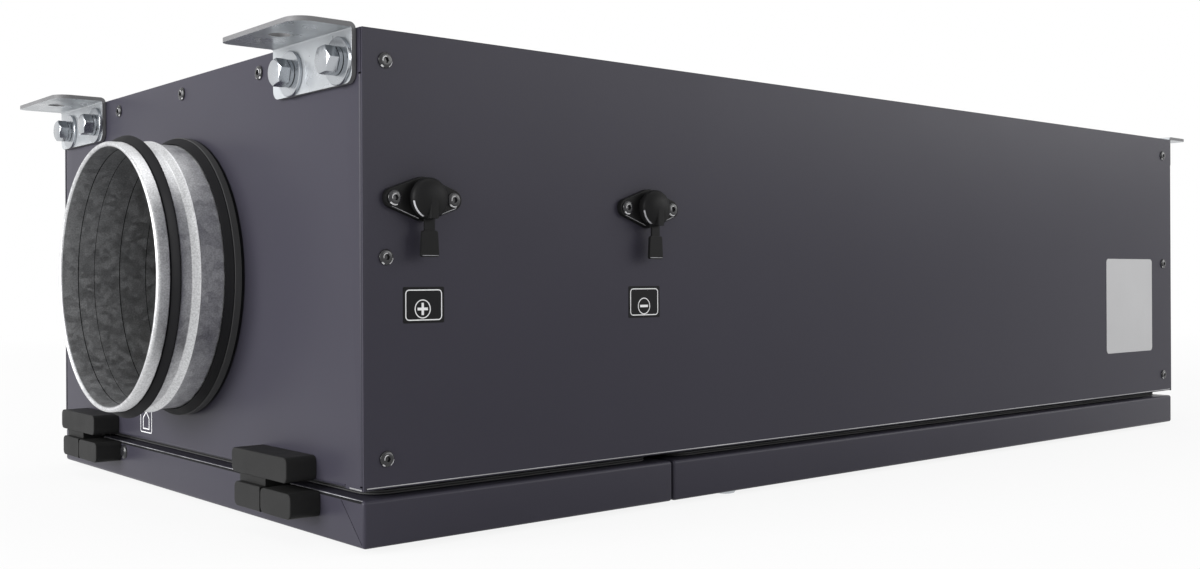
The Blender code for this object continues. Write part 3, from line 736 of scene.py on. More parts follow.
@dataclass(frozen=True)
class Finish:
    """A surface finish with a fine grain, a faint mottle and uneven gloss."""

    name: str
    slot: Optional[Slot]
    colour: Colour
    roughness: float
    metallic: float = 0.0
    specular: float = 0.5
    mottle: float = 0.05
    mottle_scale: float = 22.0
    grain_scale: float = 900.0
    grain_depth: float = 0.00002
    gloss_spread: float = 0.05

    def material(self) -> bpy.types.Material:
        """Find the finish's material, or make it the first time.

        Returns:
            The material.
        """
        found = bpy.data.materials.get(self.name)
        if found:
            return found
        made = bpy.data.materials.new(self.name)
        made.use_nodes = True
        nodes = Nodes(made.node_tree)
        shader = nodes.add("ShaderNodeBsdfPrincipled", Metallic=self.metallic, Specular_IOR_Level=self.specular,
                           Base_Color=self.tone(nodes), Roughness=self.gloss(nodes),
                           Normal=self.relief(nodes))
        nodes.add("ShaderNodeOutputMaterial", Surface=shader.outputs[0])
        return made

    def blended(self, nodes: Nodes, factor: bpy.types.NodeSocket, spread: float) -> bpy.types.NodeSocket:
        """Vary the colour about its own value.

        Args:
            nodes: The material's nodes.
            factor: The pattern, from 0 to 1.
            spread: How far the colour goes down and up, as a share.

        Returns:
            The colour.
        """
        dark = tuple(part * (1.0 - spread) for part in self.colour)
        light = tuple(min(1.0, part * (1.0 + spread)) for part in self.colour)
        mix = nodes.add("ShaderNodeMix", {"data_type": "RGBA"}, n0=factor, n6=(*dark, 1.0), n7=(*light, 1.0))
        return mix.outputs[2]

    def tone(self, nodes: Nodes) -> bpy.types.NodeSocket:
        """Give the colour, with the mottle."""
        return self.blended(nodes, nodes.ramp(nodes.noise(self.mottle_scale), 0.0, 1.0), self.mottle)

    def gloss(self, nodes: Nodes) -> bpy.types.NodeSocket:
        """Give the roughness, a little uneven."""
        return nodes.ramp(nodes.noise(self.mottle_scale * 2.3), self.roughness - self.gloss_spread,
                          self.roughness + self.gloss_spread)

    def relief(self, nodes: Nodes) -> bpy.types.NodeSocket:
        """Give the surface normal with the fine grain.

        Args:
            nodes: The material's nodes.

        Returns:
            The normal.
        """
        return nodes.bump(self.grain_depth, nodes.noise(self.grain_scale, detail=2.0))


@dataclass(frozen=True)
class PowderCoat(Finish):
    """A baked powder coat: orange peel with fine specks of a lighter tone."""

    speck: float = 0.10

    def tone(self, nodes: Nodes) -> bpy.types.NodeSocket:
        """Give the colour, with specks over the mottle.

        Args:
            nodes: The material's nodes.

        Returns:
            The colour.
        """
        mottle = nodes.ramp(nodes.noise(self.mottle_scale), 0.3, 0.7)
        speck = nodes.ramp(nodes.noise(self.grain_scale * 1.6, detail=1.0), -self.speck, self.speck, 0.3, 0.7)
        return self.blended(nodes, nodes.maths("ADD", mottle, speck, clamp=True), self.mottle)


@dataclass(frozen=True)
class Spangled(Finish):
    """Hot-dipped zinc: pale crystals of uneven size, with a fine grain over them."""

    crystal_scale: float = 260.0
    crystal: float = 0.24

    def tone(self, nodes: Nodes) -> bpy.types.NodeSocket:
        """Give the colour of the crystals.

        Args:
            nodes: The material's nodes.

        Returns:
            The colour.
        """
        grain = nodes.ramp(nodes.noise(self.grain_scale, detail=2.0), -0.35, 0.35)
        crystals = nodes.ramp(nodes.cells(self.crystal_scale), 0.38, 0.62, 0.0, 1.0)
        return self.blended(nodes, nodes.maths("ADD", crystals, grain, clamp=True), self.crystal)

    def gloss(self, nodes: Nodes) -> bpy.types.NodeSocket:
        """Give the roughness, different on each crystal.

        Args:
            nodes: The material's nodes.

        Returns:
            The roughness.
        """
        return nodes.ramp(nodes.cells(self.crystal_scale), self.roughness - self.gloss_spread,
                          self.roughness + self.gloss_spread, 0.0, 1.0)


@dataclass(frozen=True)
class Plated(Finish):
    """Bright plate on rolled steel, with faint rolling streaks."""

    streak: Point = (0.15, 1.0, 0.15)
    wave_scale: float = 90.0
    wave_depth: float = 0.00012

    def relief(self, nodes: Nodes) -> bpy.types.NodeSocket:
        """Give the surface normal with rolling streaks and soft waves.

        Args:
            nodes: The material's nodes.

        Returns:
            The normal.
        """
        streaks = nodes.noise(self.grain_scale, self.streak, detail=3.0)
        waves = nodes.noise(self.wave_scale, detail=1.0)
        return nodes.bump(self.wave_depth, waves, Normal=nodes.bump(self.grain_depth, streaks))


@dataclass(frozen=True)
class Wool(Finish):
    """Pressed mineral wool: crossed fibres under a matt facing."""

    def relief(self, nodes: Nodes) -> bpy.types.NodeSocket:
        """Give the surface normal with crossed fibres.

        Args:
            nodes: The material's nodes.

        Returns:
            The normal.
        """
        first = nodes.noise(self.grain_scale, (1.0, 0.2, 0.6), detail=4.0)
        second = nodes.noise(self.grain_scale * 0.8, (0.2, 1.0, 0.9), detail=4.0)
        return nodes.bump(self.grain_depth, nodes.maths("MAXIMUM", first, second))


GRAPHITE = PowderCoat("graphite_powder_coat", Slot.CASING, (0.0345, 0.0327, 0.0447), 0.34, specular=0.11,
                      mottle=0.05, mottle_scale=9.0, grain_scale=1100.0, grain_depth=0.00003, gloss_spread=0.008)
ZINC = Plated("bright_zinc_plate", Slot.ZINC, (0.46, 0.48, 0.505), 0.22, metallic=1.0, mottle=0.05,
              grain_scale=1500.0, grain_depth=0.00001, gloss_spread=0.07)
ZINC_SHEET = Plated("zinc_plated_sheet", Slot.ZINC, (0.45, 0.47, 0.49), 0.31, metallic=0.68, mottle=0.08,
                    grain_scale=1500.0, grain_depth=0.00001, gloss_spread=0.08)
CUT_EDGE = Finish("cut_sheet_edge", Slot.ZINC, (0.135, 0.135, 0.14), 0.50, specular=0.25, mottle=0.1,
                  grain_scale=1100.0, grain_depth=0.00002)
GALVANISED = Spangled("galvanised_sheet", Slot.GALVANISED, (0.58, 0.585, 0.595), 0.40, metallic=1.0,
                      grain_scale=1100.0, grain_depth=0.00004, gloss_spread=0.05)
# Pale grey for painted highlights: thin sheets on the lids' top bends and on the port flanges', caps' and tabs'
# lower edges stand for light caught there.
PAINTED_HIGHLIGHT = Finish("painted_highlight_pale", Slot.GALVANISED, (0.30, 0.30, 0.315), 0.55, specular=0.2, mottle=0.45,
                     mottle_scale=60.0, grain_scale=900.0, grain_depth=0.00001)
# Metallic pale grey for painted highlights: thin sheets along the side panels' lower bends and at the end panels'
# lower corners stand for light caught there.
PAINTED_HIGHLIGHT_ZINC = Plated("painted_highlight_zinc", Slot.GALVANISED, (0.40, 0.40, 0.41), 0.35, metallic=1.0, mottle=0.25,
                   mottle_scale=14.0, grain_scale=1500.0, grain_depth=0.00001)
# Pale grey for painted glints: thin sheets on stretches of the screw heads' and sockets' rim stand for reflected
# light.
PAINTED_GLINT = Finish("painted_glint", None, (0.55, 0.55, 0.56), 0.40, specular=0.3, mottle=0.2,
                   mottle_scale=200.0, grain_scale=1500.0, grain_depth=0.00001)
RUBBER = Finish("black_rubber", Slot.RUBBER, (0.007, 0.007, 0.008), 0.60, specular=0.08,
                grain_scale=700.0, grain_depth=0.00002)
GREY_RUBBER = Finish("dark_grey_rubber", Slot.RUBBER, (0.055, 0.055, 0.056), 0.60, specular=0.16,
                     grain_scale=700.0, grain_depth=0.00002)
PLASTIC = Finish("black_moulded_plastic", Slot.BLACK_PLASTIC, (0.021, 0.021, 0.021), 0.48, specular=0.05,
                 mottle=0.04, grain_scale=1300.0, grain_depth=0.00003)
PORT_PLASTIC = Finish("glossy_black_plastic", Slot.BLACK_PLASTIC, (0.0100, 0.0100, 0.0103), 0.42, specular=0.07,
                      mottle=0.04, grain_scale=1300.0, grain_depth=0.00002)
SCREW_STEEL = Finish("blackened_screw_steel", None, (0.016, 0.016, 0.018), 0.25, specular=0.42,
                     grain_scale=900.0, grain_depth=0.00001)
WOOL = Wool("mineral_wool", Slot.LINING, (0.30, 0.29, 0.27), 0.92, specular=0.1, mottle=0.16,
            mottle_scale=60.0, grain_scale=420.0, grain_depth=0.0012)
LABEL_BLACK = Finish("black_label_film", Slot.BLACK_PLASTIC, (0.008, 0.008, 0.009), 0.45, specular=0.08,
                     grain_scale=500.0, grain_depth=0.000005)
PRINT_WHITE = Finish("white_print", None, (0.72, 0.72, 0.73), 0.55, specular=0.2, mottle=0.03,
                     grain_scale=900.0, grain_depth=0.000005)
PLATE_WHITE = Finish("white_plate_film", None, (0.46, 0.46, 0.467), 0.45, specular=0.15, mottle=0.015,
                     grain_scale=300.0, grain_depth=0.00001)


@dataclass(frozen=True)
class Trim:
    """What a finished piece gets besides its finish.

    Attributes:
        wall: The thickness that an open sheet gets, inwards from its outer face.
        edge: The width of the small bevel on its sharp edges.
        smooth: The angle in degrees up to which its faces are shaded as one.
        cut: The finish of the wall's cut edges, where it differs.
    """

    wall: float = 0.0
    edge: float = 0.0
    smooth: float = 32.0
    cut: Optional[Finish] = None


PANEL_TRIM = Trim(wall=SHEET, edge=0.00022)
LINE_TRIM = Trim(wall=0.00003)
PRINT_TRIM = Trim(wall=0.00004)


def fit(form: Form, name: str, finish: Finish, body: Body, replaces: Sequence[str] = (),
        trim: Trim = Trim()) -> bpy.types.Object:
    """Turn a form into a piece of the object.

    Args:
        form: The shape, in its place, which is used up.
        name: The piece's name.
        finish: Its finish.
        body: The body that it rides on.
        replaces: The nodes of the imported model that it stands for.
        trim: Its wall thickness, edge bevel and shading.

    Returns:
        The piece.
    """
    data = bpy.data.meshes.new(name)
    form.mesh.to_mesh(data)
    form.mesh.free()
    data.materials.append(finish.material())
    data.polygons.foreach_set("use_smooth", [True] * len(data.polygons))
    data.set_sharp_from_angle(angle=math.radians(trim.smooth))
    item = bpy.data.objects.new(name, data)
    bpy.context.scene.collection.objects.link(item)
    if trim.wall > 0.0:
        step = item.modifiers.new("wall", "SOLIDIFY")
        step.thickness = trim.wall
        step.offset = -1.0
        step.use_even_offset = True
        step.use_quality_normals = True
        if trim.cut is not None:
            data.materials.append(trim.cut.material())
            step.material_offset_rim = 1
    if trim.edge > 0.0:
        step = item.modifiers.new("edge", "BEVEL")
        step.width = trim.edge
        step.segments = 2
        step.limit_method = "ANGLE"
        step.angle_limit = math.radians(50.0)
        step.harden_normals = True
    else:
        step = item.modifiers.new("shade", "WEIGHTED_NORMAL")
        step.keep_sharp = True
    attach(item, body.value)
    if replaces:
        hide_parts(*replaces)
    LOG.info("%s: %d faces on %s", name, len(data.polygons), body.value)
    return item


@dataclass
class Casing:
    """The folded outer panels."""

    lip: float = 0.018
    top_flange: float = 0.022
    end_flange: float = 0.022

    def top(self) -> None:
        """Make the top panel, folded down all round."""
        form = Form.flat((-END_FACE, -SIDE_FACE), (END_FACE, SIDE_FACE))
        outline = [edge for edge in form.mesh.edges if edge.is_boundary]
        form.drawn_out(outline, Vector((0.0, 0.0, -self.top_flange)))
        form.looking_up().round_edges(form.sharp_edges(), BEND, 6)
        fit(form.moved(z=TOP_Z), "top_cover", GRAPHITE, Body.HOUSING, ("top_panel",), PANEL_TRIM)

    def side(self, name: str, sign: float) -> None:
        """Make a side panel with its inward lip.

        Args:
            name: The side's word, front or back.
            sign: The side of Y.
        """
        form = Form.flat((-HALF_LENGTH, BASE_Z), (HALF_LENGTH, TOP_Z))
        lip_x = END_FACE - BEND_RELIEF
        form.folded(1, BASE_Z, -lip_x, lip_x, self.lip)
        form.placed(Matrix.Translation((0.0, sign * HALF_WIDTH, 0.0)) @ side_axes(sign))
        fit(form, f"side_{name}", GRAPHITE, Body.HOUSING, (f"side_panel_{name}",), PANEL_TRIM)

    def end(self, end: End) -> None:
        """Make an end panel with its duct hole, flanges and lip."""
        form = Form.flat((-SIDE_FACE, BASE_Z), (SIDE_FACE, TOP_Z))
        form.pierced([(0.0, DUCT_Z, DUCT_RADIUS + FIT)], 160)
        flange_base = BASE_Z + SHEET + FLANGE_GAP + BEND_RELIEF
        flange_top = TOP_Z - self.top_flange - BEND_RELIEF
        lip_y = HALF_WIDTH - self.lip - FIT
        for place in (-SIDE_FACE, SIDE_FACE):
            form.folded(0, place, flange_base, flange_top, self.end_flange)
        form.folded(1, BASE_Z, -lip_y, lip_y, self.lip)
        form.placed(Matrix.Translation((end.sign * HALF_LENGTH, 0.0, 0.0)) @ end_axes(end.sign))
        fit(form, f"end_{end.label}", GRAPHITE, Body.HOUSING, (f"end_panel_{end.label}",), PANEL_TRIM)

    def build(self) -> None:
        """Make all the panels."""
        self.top()
        self.side("front", -1.0)
        self.side("back", 1.0)
        for end in End:
            self.end(end)


@dataclass
class PaintedEdgeLights:
    """Painted highlights and painted shade along the casing's and lids' bends: thin pale sheets stand for light
    caught by the bends, and thin black sheets for the shade beside it.
    """

    # Angle spans of the painted highlight under the side panels, of the painted highlight on the lids' top bend, and
    # of the painted shade line below it.
    under: Pair = (-27.0, -12.0)
    bright: Pair = (46.0, 58.0)
    dark: Pair = (10.0, 44.0)
    corner_reach: float = 0.0120
    corner_line: float = 0.0007
    corner_inset: float = 0.0004
    corner_lift: float = 0.0002
    lid_inset: float = 0.0005
    lift: float = 0.00006

    def line(self, start: float, end: float, angles: Pair, bend_z: float, out: float) -> Form:
        """Make a fine band that follows a level bend.

        Args:
            start: Where the band starts along X.
            end: Where it ends.
            angles: From where to where it covers the bend, in degrees from level, up above zero.
            bend_z: The height of the bend's middle.
            out: How far out the bend's middle lies along -Y.

        Returns:
            The open sheet.
        """
        form = Form()
        radius, steps = BEND + self.lift, 4
        verts = []
        for step in range(steps + 1):
            turn = math.radians(angles[0] + (angles[1] - angles[0]) * step / steps)
            verts.append(form.mesh.verts.new((start, -out - radius * math.cos(turn),
                                              bend_z + radius * math.sin(turn))))
        edges = [form.mesh.edges.new(pair) for pair in zip(verts, verts[1:])]
        form.drawn_out(edges, Vector((end - start, 0.0, 0.0)))
        form.mesh.normal_update()
        if sum(face.normal.y for face in form.mesh.faces) > 0.0:
            bmesh.ops.reverse_faces(form.mesh, faces=form.mesh.faces)
        return form

    def build(self) -> None:
        """Make the painted highlight lines under the side panels and at the end panels' lower corners, and the
        painted highlight and painted shade lines on the lids' hinge ends.
        """
        casing = Form()
        length, width = END_FACE - FIT, HALF_WIDTH - BEND - self.lid_inset
        for turn in (0.0, math.pi):
            line = self.line(-length, length, self.under, BASE_Z + BEND, HALF_WIDTH - BEND)
            casing.joined(line.placed(Matrix.Rotation(turn, 4, "Z")))
        for end in End:
            for side in (-1.0, 1.0):
                low, high = sorted((side * (SIDE_FACE - self.corner_inset), side * (SIDE_FACE - self.corner_reach)))
                base = BASE_Z + self.corner_lift
                strip = Form.flat((low, base), (high, base + self.corner_line))
                spot = Matrix.Translation((end.sign * (HALF_LENGTH + self.lift), 0.0, 0.0))
                casing.joined(strip.placed(spot @ end_axes(end.sign)))
        fit(casing, "casing_painted_highlights", PAINTED_HIGHLIGHT_ZINC, Body.HOUSING, trim=PRINT_TRIM)
        for turn, body, name in ((-90.0, Body.SHORT_LID, "lid_short"), (90.0, Body.LONG_LID, "lid_long")):
            # The bright line is a painted highlight on the lid's top bend; the dark one, in the black rubber finish,
            # is painted shade just below it.
            for angles, finish, word in ((self.bright, PAINTED_HIGHLIGHT, "bright"), (self.dark, RUBBER, "dark")):
                line = self.line(-width, width, angles, LID_HEIGHT - BEND, HALF_LENGTH - BEND)
                line.placed(Matrix.Rotation(math.radians(turn), 4, "Z"))
                fit(line, f"{name}_{word}_edge", finish, body, trim=PRINT_TRIM)


@dataclass
class ButtonScrew:
    """A black button-head screw with a hexagon socket, with painted glints: pale sheets on stretches of the head's
    and the socket's rim that stand for reflected light.
    """

    radius: float = 0.0040
    rise: float = 0.0014
    socket: float = 0.0016
    socket_depth: float = 0.0011
    # Angle spans of the painted glints: pale sheets standing for light reflected from the head's and the socket's
    # rim.
    rim_glints: tuple[Pair, ...] = ((-136.0, -112.0), (-62.0, -8.0))
    socket_glints: tuple[Pair, ...] = ((78.0, 196.0),)
    lift: float = 0.00005
    crown: float = 0.55
    foot: float = 0.0004
    chamfer: float = 0.0002
    glint_from: float = 0.0001
    glint_to: float = 0.0005

    def dome(self, angle: float) -> Pair:
        """Give the point of the head's round edge at an angle in degrees from level."""
        crown, turn = self.crown * self.radius, math.radians(angle)
        return (crown + (self.radius - crown) * math.cos(turn), self.foot + (self.rise - self.foot) * math.sin(turn))

    def form(self) -> Form:
        """Make the head, standing on the XY plane.

        Returns:
            The closed form.
        """
        profile = [(0.0, self.rise - self.socket_depth), (self.socket, self.rise - self.socket_depth),
                   (self.socket, self.rise), *(self.dome(angle) for angle in (90.0, 70.0, 50.0, 30.0, 10.0))]
        profile += [(self.radius, self.chamfer), (self.radius - self.chamfer, 0.0), (0.0, 0.0)]
        return Form.turned(profile, steps=24).hexagonal(self.socket)

    def rims(self) -> Form:
        """Make the painted glints on stretches of the head's and the socket's rim.

        Returns:
            The open sheets.
        """
        group = Form()
        head = [self.dome(angle) for angle in (10.0, 30.0, 50.0)]
        socket = [(self.socket + self.glint_to, self.rise), (self.socket + self.glint_from, self.rise)]
        for line, stretches in ((head, self.rim_glints), (socket, self.socket_glints)):
            for start, end in stretches:
                group.joined(Form.arc_band([(radius, height + self.lift) for radius, height in line], start, end))
        return group

    def build(self, place: str, word: str, spots: Iterable[Matrix]) -> None:
        """Make a group of screws and the painted glints on them.

        Args:
            place: What the screws hold, for the pieces' names.
            word: Which of those it is.
            spots: Where the screws stand.
        """
        heads, rims = Form(), Form()
        for spot in spots:
            heads.joined(self.form().placed(spot))
            rims.joined(self.rims().placed(spot))
        fit(heads, f"{place}_screws_{word}", SCREW_STEEL, Body.HOUSING)
        fit(rims, f"{place}_screw_rims_{word}", PAINTED_GLINT, Body.HOUSING, trim=LINE_TRIM)


@dataclass
class PanelScrews:
    """The screws that hold the side and end panels to the top cover and the end flanges."""

    screw: ButtonScrew = field(default_factory=ButtonScrew)
    side_x: tuple[float, ...] = (-0.4070, 0.4045)
    side_z: tuple[float, ...] = (0.0433, 0.1427, 0.2397)
    end_y: tuple[float, ...] = (-0.1030, 0.0008, 0.1038)
    end_z: float = 0.2459

    def on_side(self, name: str, sign: float) -> None:
        """Make the screws of one side.

        Args:
            name: The side's word, front or back.
            sign: The side of Y.
        """
        spots = [Matrix.Translation((x, sign * HALF_WIDTH, z)) @ side_axes(sign)
                 for x in self.side_x for z in self.side_z]
        self.screw.build("side", name, spots)

    def on_end(self, end: End) -> None:
        """Make the screws of one end."""
        spots = [Matrix.Translation((end.sign * HALF_LENGTH, y, self.end_z)) @ end_axes(end.sign)
                 for y in self.end_y]
        self.screw.build("end", end.label, spots)

    def build(self) -> None:
        """Make all the screws."""
        self.on_side("front", -1.0)
        self.on_side("back", 1.0)
        for end in End:
            self.on_end(end)


@dataclass
class Spigot:
    """A turned duct spigot with its lip seal and the wedge gasket on the wall."""

    end: End
    reach: float = 0.0488
    inside: float = 0.0240
    # Depth and width of each black band of painted shade standing for the bore's grooves.
    bore_seams: tuple[Pair, ...] = ((0.0115, 0.0005), (0.0216, 0.0003), (0.0380, 0.0005), (0.0553, 0.0004))
    rim: float = 0.0074
    seal_width: float = 0.0064
    seal_depth: float = 0.0022
    seal_lip: float = 0.0042
    waist: float = 0.0068
    waist_depth: float = 0.0011
    bead: float = 0.0044
    bead_height: float = 0.0016
    collar_depth: float = 0.0102
    collar_height: float = 0.0047
    collar_foot: float = 0.0012
    collar_band: float = 0.0062
    steps: int = 192

    @property
    def matrix(self) -> Matrix:
        """Give the place of the spigot's axis, its mouth outwards."""
        out = Matrix.Rotation(self.end.sign * math.pi / 2.0, 4, "Y")
        return Matrix.Translation((self.end.sign * HALF_LENGTH, 0.0, DUCT_Z)) @ out

    def arc(self, middle: float, half: float, height: float, steps: int = 7) -> list[Pair]:
        """Give a round bead of the outer line.

        Args:
            middle: The bead's middle.
            half: Half its width.
            height: How far it stands out, or in where it is below zero.
            steps: How many steps it has.

        Returns:
            The points from its outer end to its inner end.
        """
        points = []
        for step in range(steps + 1):
            turn = math.pi * (0.5 - step / steps)
            points.append((DUCT_RADIUS + height * math.cos(turn), middle + half * math.sin(turn)))
        return points

    def tube(self) -> None:
        """Make the sheet tube with its rolled mouth, seal groove, waist and beads, and the black bands of painted
        shade in its bore.
        """
        rim_end = self.reach - self.rim
        groove_end = rim_end - self.seal_width
        waist_end = groove_end - self.waist
        curl, step, radius = 0.0015, 0.0005, DUCT_RADIUS
        points = [(radius - 2.0 * curl, self.reach - 1.1 * curl)]
        for angle in range(165, 14, -25):
            turn = math.radians(angle)
            points.append((radius - curl + curl * math.cos(turn), self.reach - curl + curl * math.sin(turn)))
        points += [(radius, self.reach - curl - step), (radius, rim_end + step)]
        points += [(radius - step * 0.4, rim_end), (radius - self.seal_depth, rim_end - step)]
        points += [(radius - self.seal_depth, groove_end + step), (radius - step * 0.4, groove_end)]
        for share, depth in ((0.03, 0.3), (0.08, 0.8), (0.14, 1.0), (0.50, 1.0), (0.90, 1.0), (0.97, 0.9)):
            points.append((radius - self.waist_depth * depth, groove_end - self.waist * share))
        for share, height in ((0.06, -0.55), (0.70, 0.80), (0.80, 0.97), (0.87, 1.0), (0.93, 0.85), (0.97, 0.45),
                              (1.0, 0.0)):
            points.append((radius + self.bead_height * height, waist_end - self.bead * share))
        points += [(radius, 0.0110), (radius, 0.0050)]
        points += self.arc(-0.0065, 0.0016, -0.0012)
        points += self.arc(-0.0110, 0.0016, -0.0012)
        bore = radius - 2.0 * curl
        points += [(radius, -self.inside), (bore, -self.inside)]
        form = Form.turned(points, closed=True, steps=self.steps).outward()
        # Black rubber-finish bands on the bore: painted shade standing for its grooves.
        shade_bands = Form()
        for depth, wide in self.bore_seams:
            middle = self.reach - depth
            line = [(bore - PRINT_LIFT, middle - wide / 2.0), (bore - PRINT_LIFT, middle + wide / 2.0)]
            shade_bands.joined(Form.turned(line, steps=self.steps))
        bmesh.ops.reverse_faces(shade_bands.mesh, faces=shade_bands.mesh.faces)
        fit(shade_bands.placed(self.matrix), f"bore_seams_{self.end.label}", RUBBER, Body.HOUSING, trim=PRINT_TRIM)
        fit(form.placed(self.matrix), f"duct_spigot_{self.end.label}", GALVANISED, Body.HOUSING,
            (f"spigot_{self.end.label}",), Trim(smooth=50.0))

    def seal(self) -> None:
        """Make the rubber lip seal in the groove."""
        top = self.reach - self.rim - 2.0 * FIT
        bottom = top - self.seal_width + 4.0 * FIT
        floor = DUCT_RADIUS - self.seal_depth + FIT
        lip = self.seal_lip
        points = [(DUCT_RADIUS - FIT, top), (DUCT_RADIUS + 0.0006, top - 0.0002),
                  (DUCT_RADIUS + lip * 0.55, top - self.seal_width * 0.24),
                  (DUCT_RADIUS + lip * 0.93, top - self.seal_width * 0.44),
                  (DUCT_RADIUS + lip, bottom + self.seal_width * 0.27),
                  (DUCT_RADIUS + lip * 0.95, bottom + self.seal_width * 0.20),
                  (DUCT_RADIUS + lip * 0.6, bottom + self.seal_width * 0.14),
                  (DUCT_RADIUS + 0.0003, bottom), (floor, bottom), (floor, top)]
        form = Form.turned(points, closed=True, steps=self.steps).outward()
        fit(form.placed(self.matrix), f"lip_seal_{self.end.label}", RUBBER, Body.HOUSING,
            (f"spigot_seal_{self.end.label}",), Trim(smooth=40.0))

    def gasket(self) -> None:
        """Make the wedge gasket where the tube meets the wall, and the band round it."""
        inner = DUCT_RADIUS + FIT
        outer = DUCT_RADIUS + self.collar_height
        foot, band = FIT + self.collar_foot, self.collar_band
        wedge = [(inner + 0.0003, self.collar_depth), (inner + 0.0009, self.collar_depth - 0.0002),
                 (inner + 0.0016, self.collar_depth - 0.0010), (outer - 0.0006, band + 0.0005),
                 (outer - 0.0004, band), (outer - 0.0008, band - 0.0003), (outer - 0.0008, foot),
                 (outer - 0.0004, foot - 0.0003), (outer - 0.0005, FIT), (inner, FIT)]
        ring = [(outer - 0.0007, band - 0.0004), (outer - 0.0002, band - 0.0004), (outer, band - 0.0006),
                (outer, foot + 0.0005), (outer - 0.0002, foot + 0.0003), (outer - 0.0007, foot + 0.0003)]
        form = Form.turned(wedge, closed=True, steps=self.steps).outward()
        fit(form.placed(self.matrix), f"wedge_gasket_{self.end.label}", RUBBER, Body.HOUSING,
            (f"spigot_gasket_{self.end.label}",), Trim(smooth=40.0))
        form = Form.turned(ring, closed=True, steps=self.steps).outward()
        fit(form.placed(self.matrix), f"collar_band_{self.end.label}", GREY_RUBBER, Body.HOUSING,
            trim=Trim(smooth=40.0))

    def build(self) -> None:
        """Make the spigot's pieces."""
        self.tube()
        self.seal()
        self.gasket()


@dataclass
class HexBolt:
    """A hexagon bolt head on a spring washer and a wide flat washer."""

    flats: float = 0.0130
    head: float = 0.0063
    washer_radius: float = 0.0120
    washer_sheet: float = 0.0020
    spring_radius: float = 0.0073
    spring_sheet: float = 0.0023
    spring_wire: float = 0.8
    spring_climb: float = 0.2
    bore: float = 0.0042

    def washer(self) -> Form:
        """Make the flat washer on the XY plane.

        Returns:
            The closed form.
        """
        edge = 0.0003
        high, wide = self.washer_sheet, self.washer_radius
        points = [(self.bore, high), (wide - edge, high), (wide, high - edge), (wide, edge),
                  (wide - edge, 0.0), (self.bore, 0.0)]
        return Form.turned(points, closed=True, steps=64).outward()

    def spring(self) -> Form:
        """Make the spring washer: one turn of square wire with a split.

        Returns:
            The closed form.
        """
        form = Form()
        low = self.washer_sheet
        half_gap = math.radians(5.0)
        high = low + self.spring_sheet * self.spring_wire
        loop = [(self.bore, low), (self.spring_radius, low), (self.spring_radius, high), (self.bore, high)]
        steps = 44
        rise = self.spring_sheet * self.spring_climb / steps
        form.spun(form.line(loop, closed=True), math.tau - 2.0 * half_gap, steps, rise=rise)
        open_edges = [edge for edge in form.mesh.edges if edge.is_boundary]
        bmesh.ops.holes_fill(form.mesh, edges=open_edges, sides=4)
        return form.placed(Matrix.Rotation(math.radians(-60.0), 4, "Z")).outward()

    def hexagon(self) -> Form:
        """Make the hexagon head with its rounded chamfer.

        Returns:
            The closed form.
        """
        corner = self.flats / math.sqrt(3.0)
        crown = self.flats * 0.46
        points = [(0.0, self.head), (crown, self.head), (corner, self.head - 0.0004), (corner, 0.0),
                  (0.0, 0.0)]
        form = Form.turned(points, steps=48).hexagonal(corner, crown)
        return form.moved(z=self.washer_sheet + self.spring_sheet)


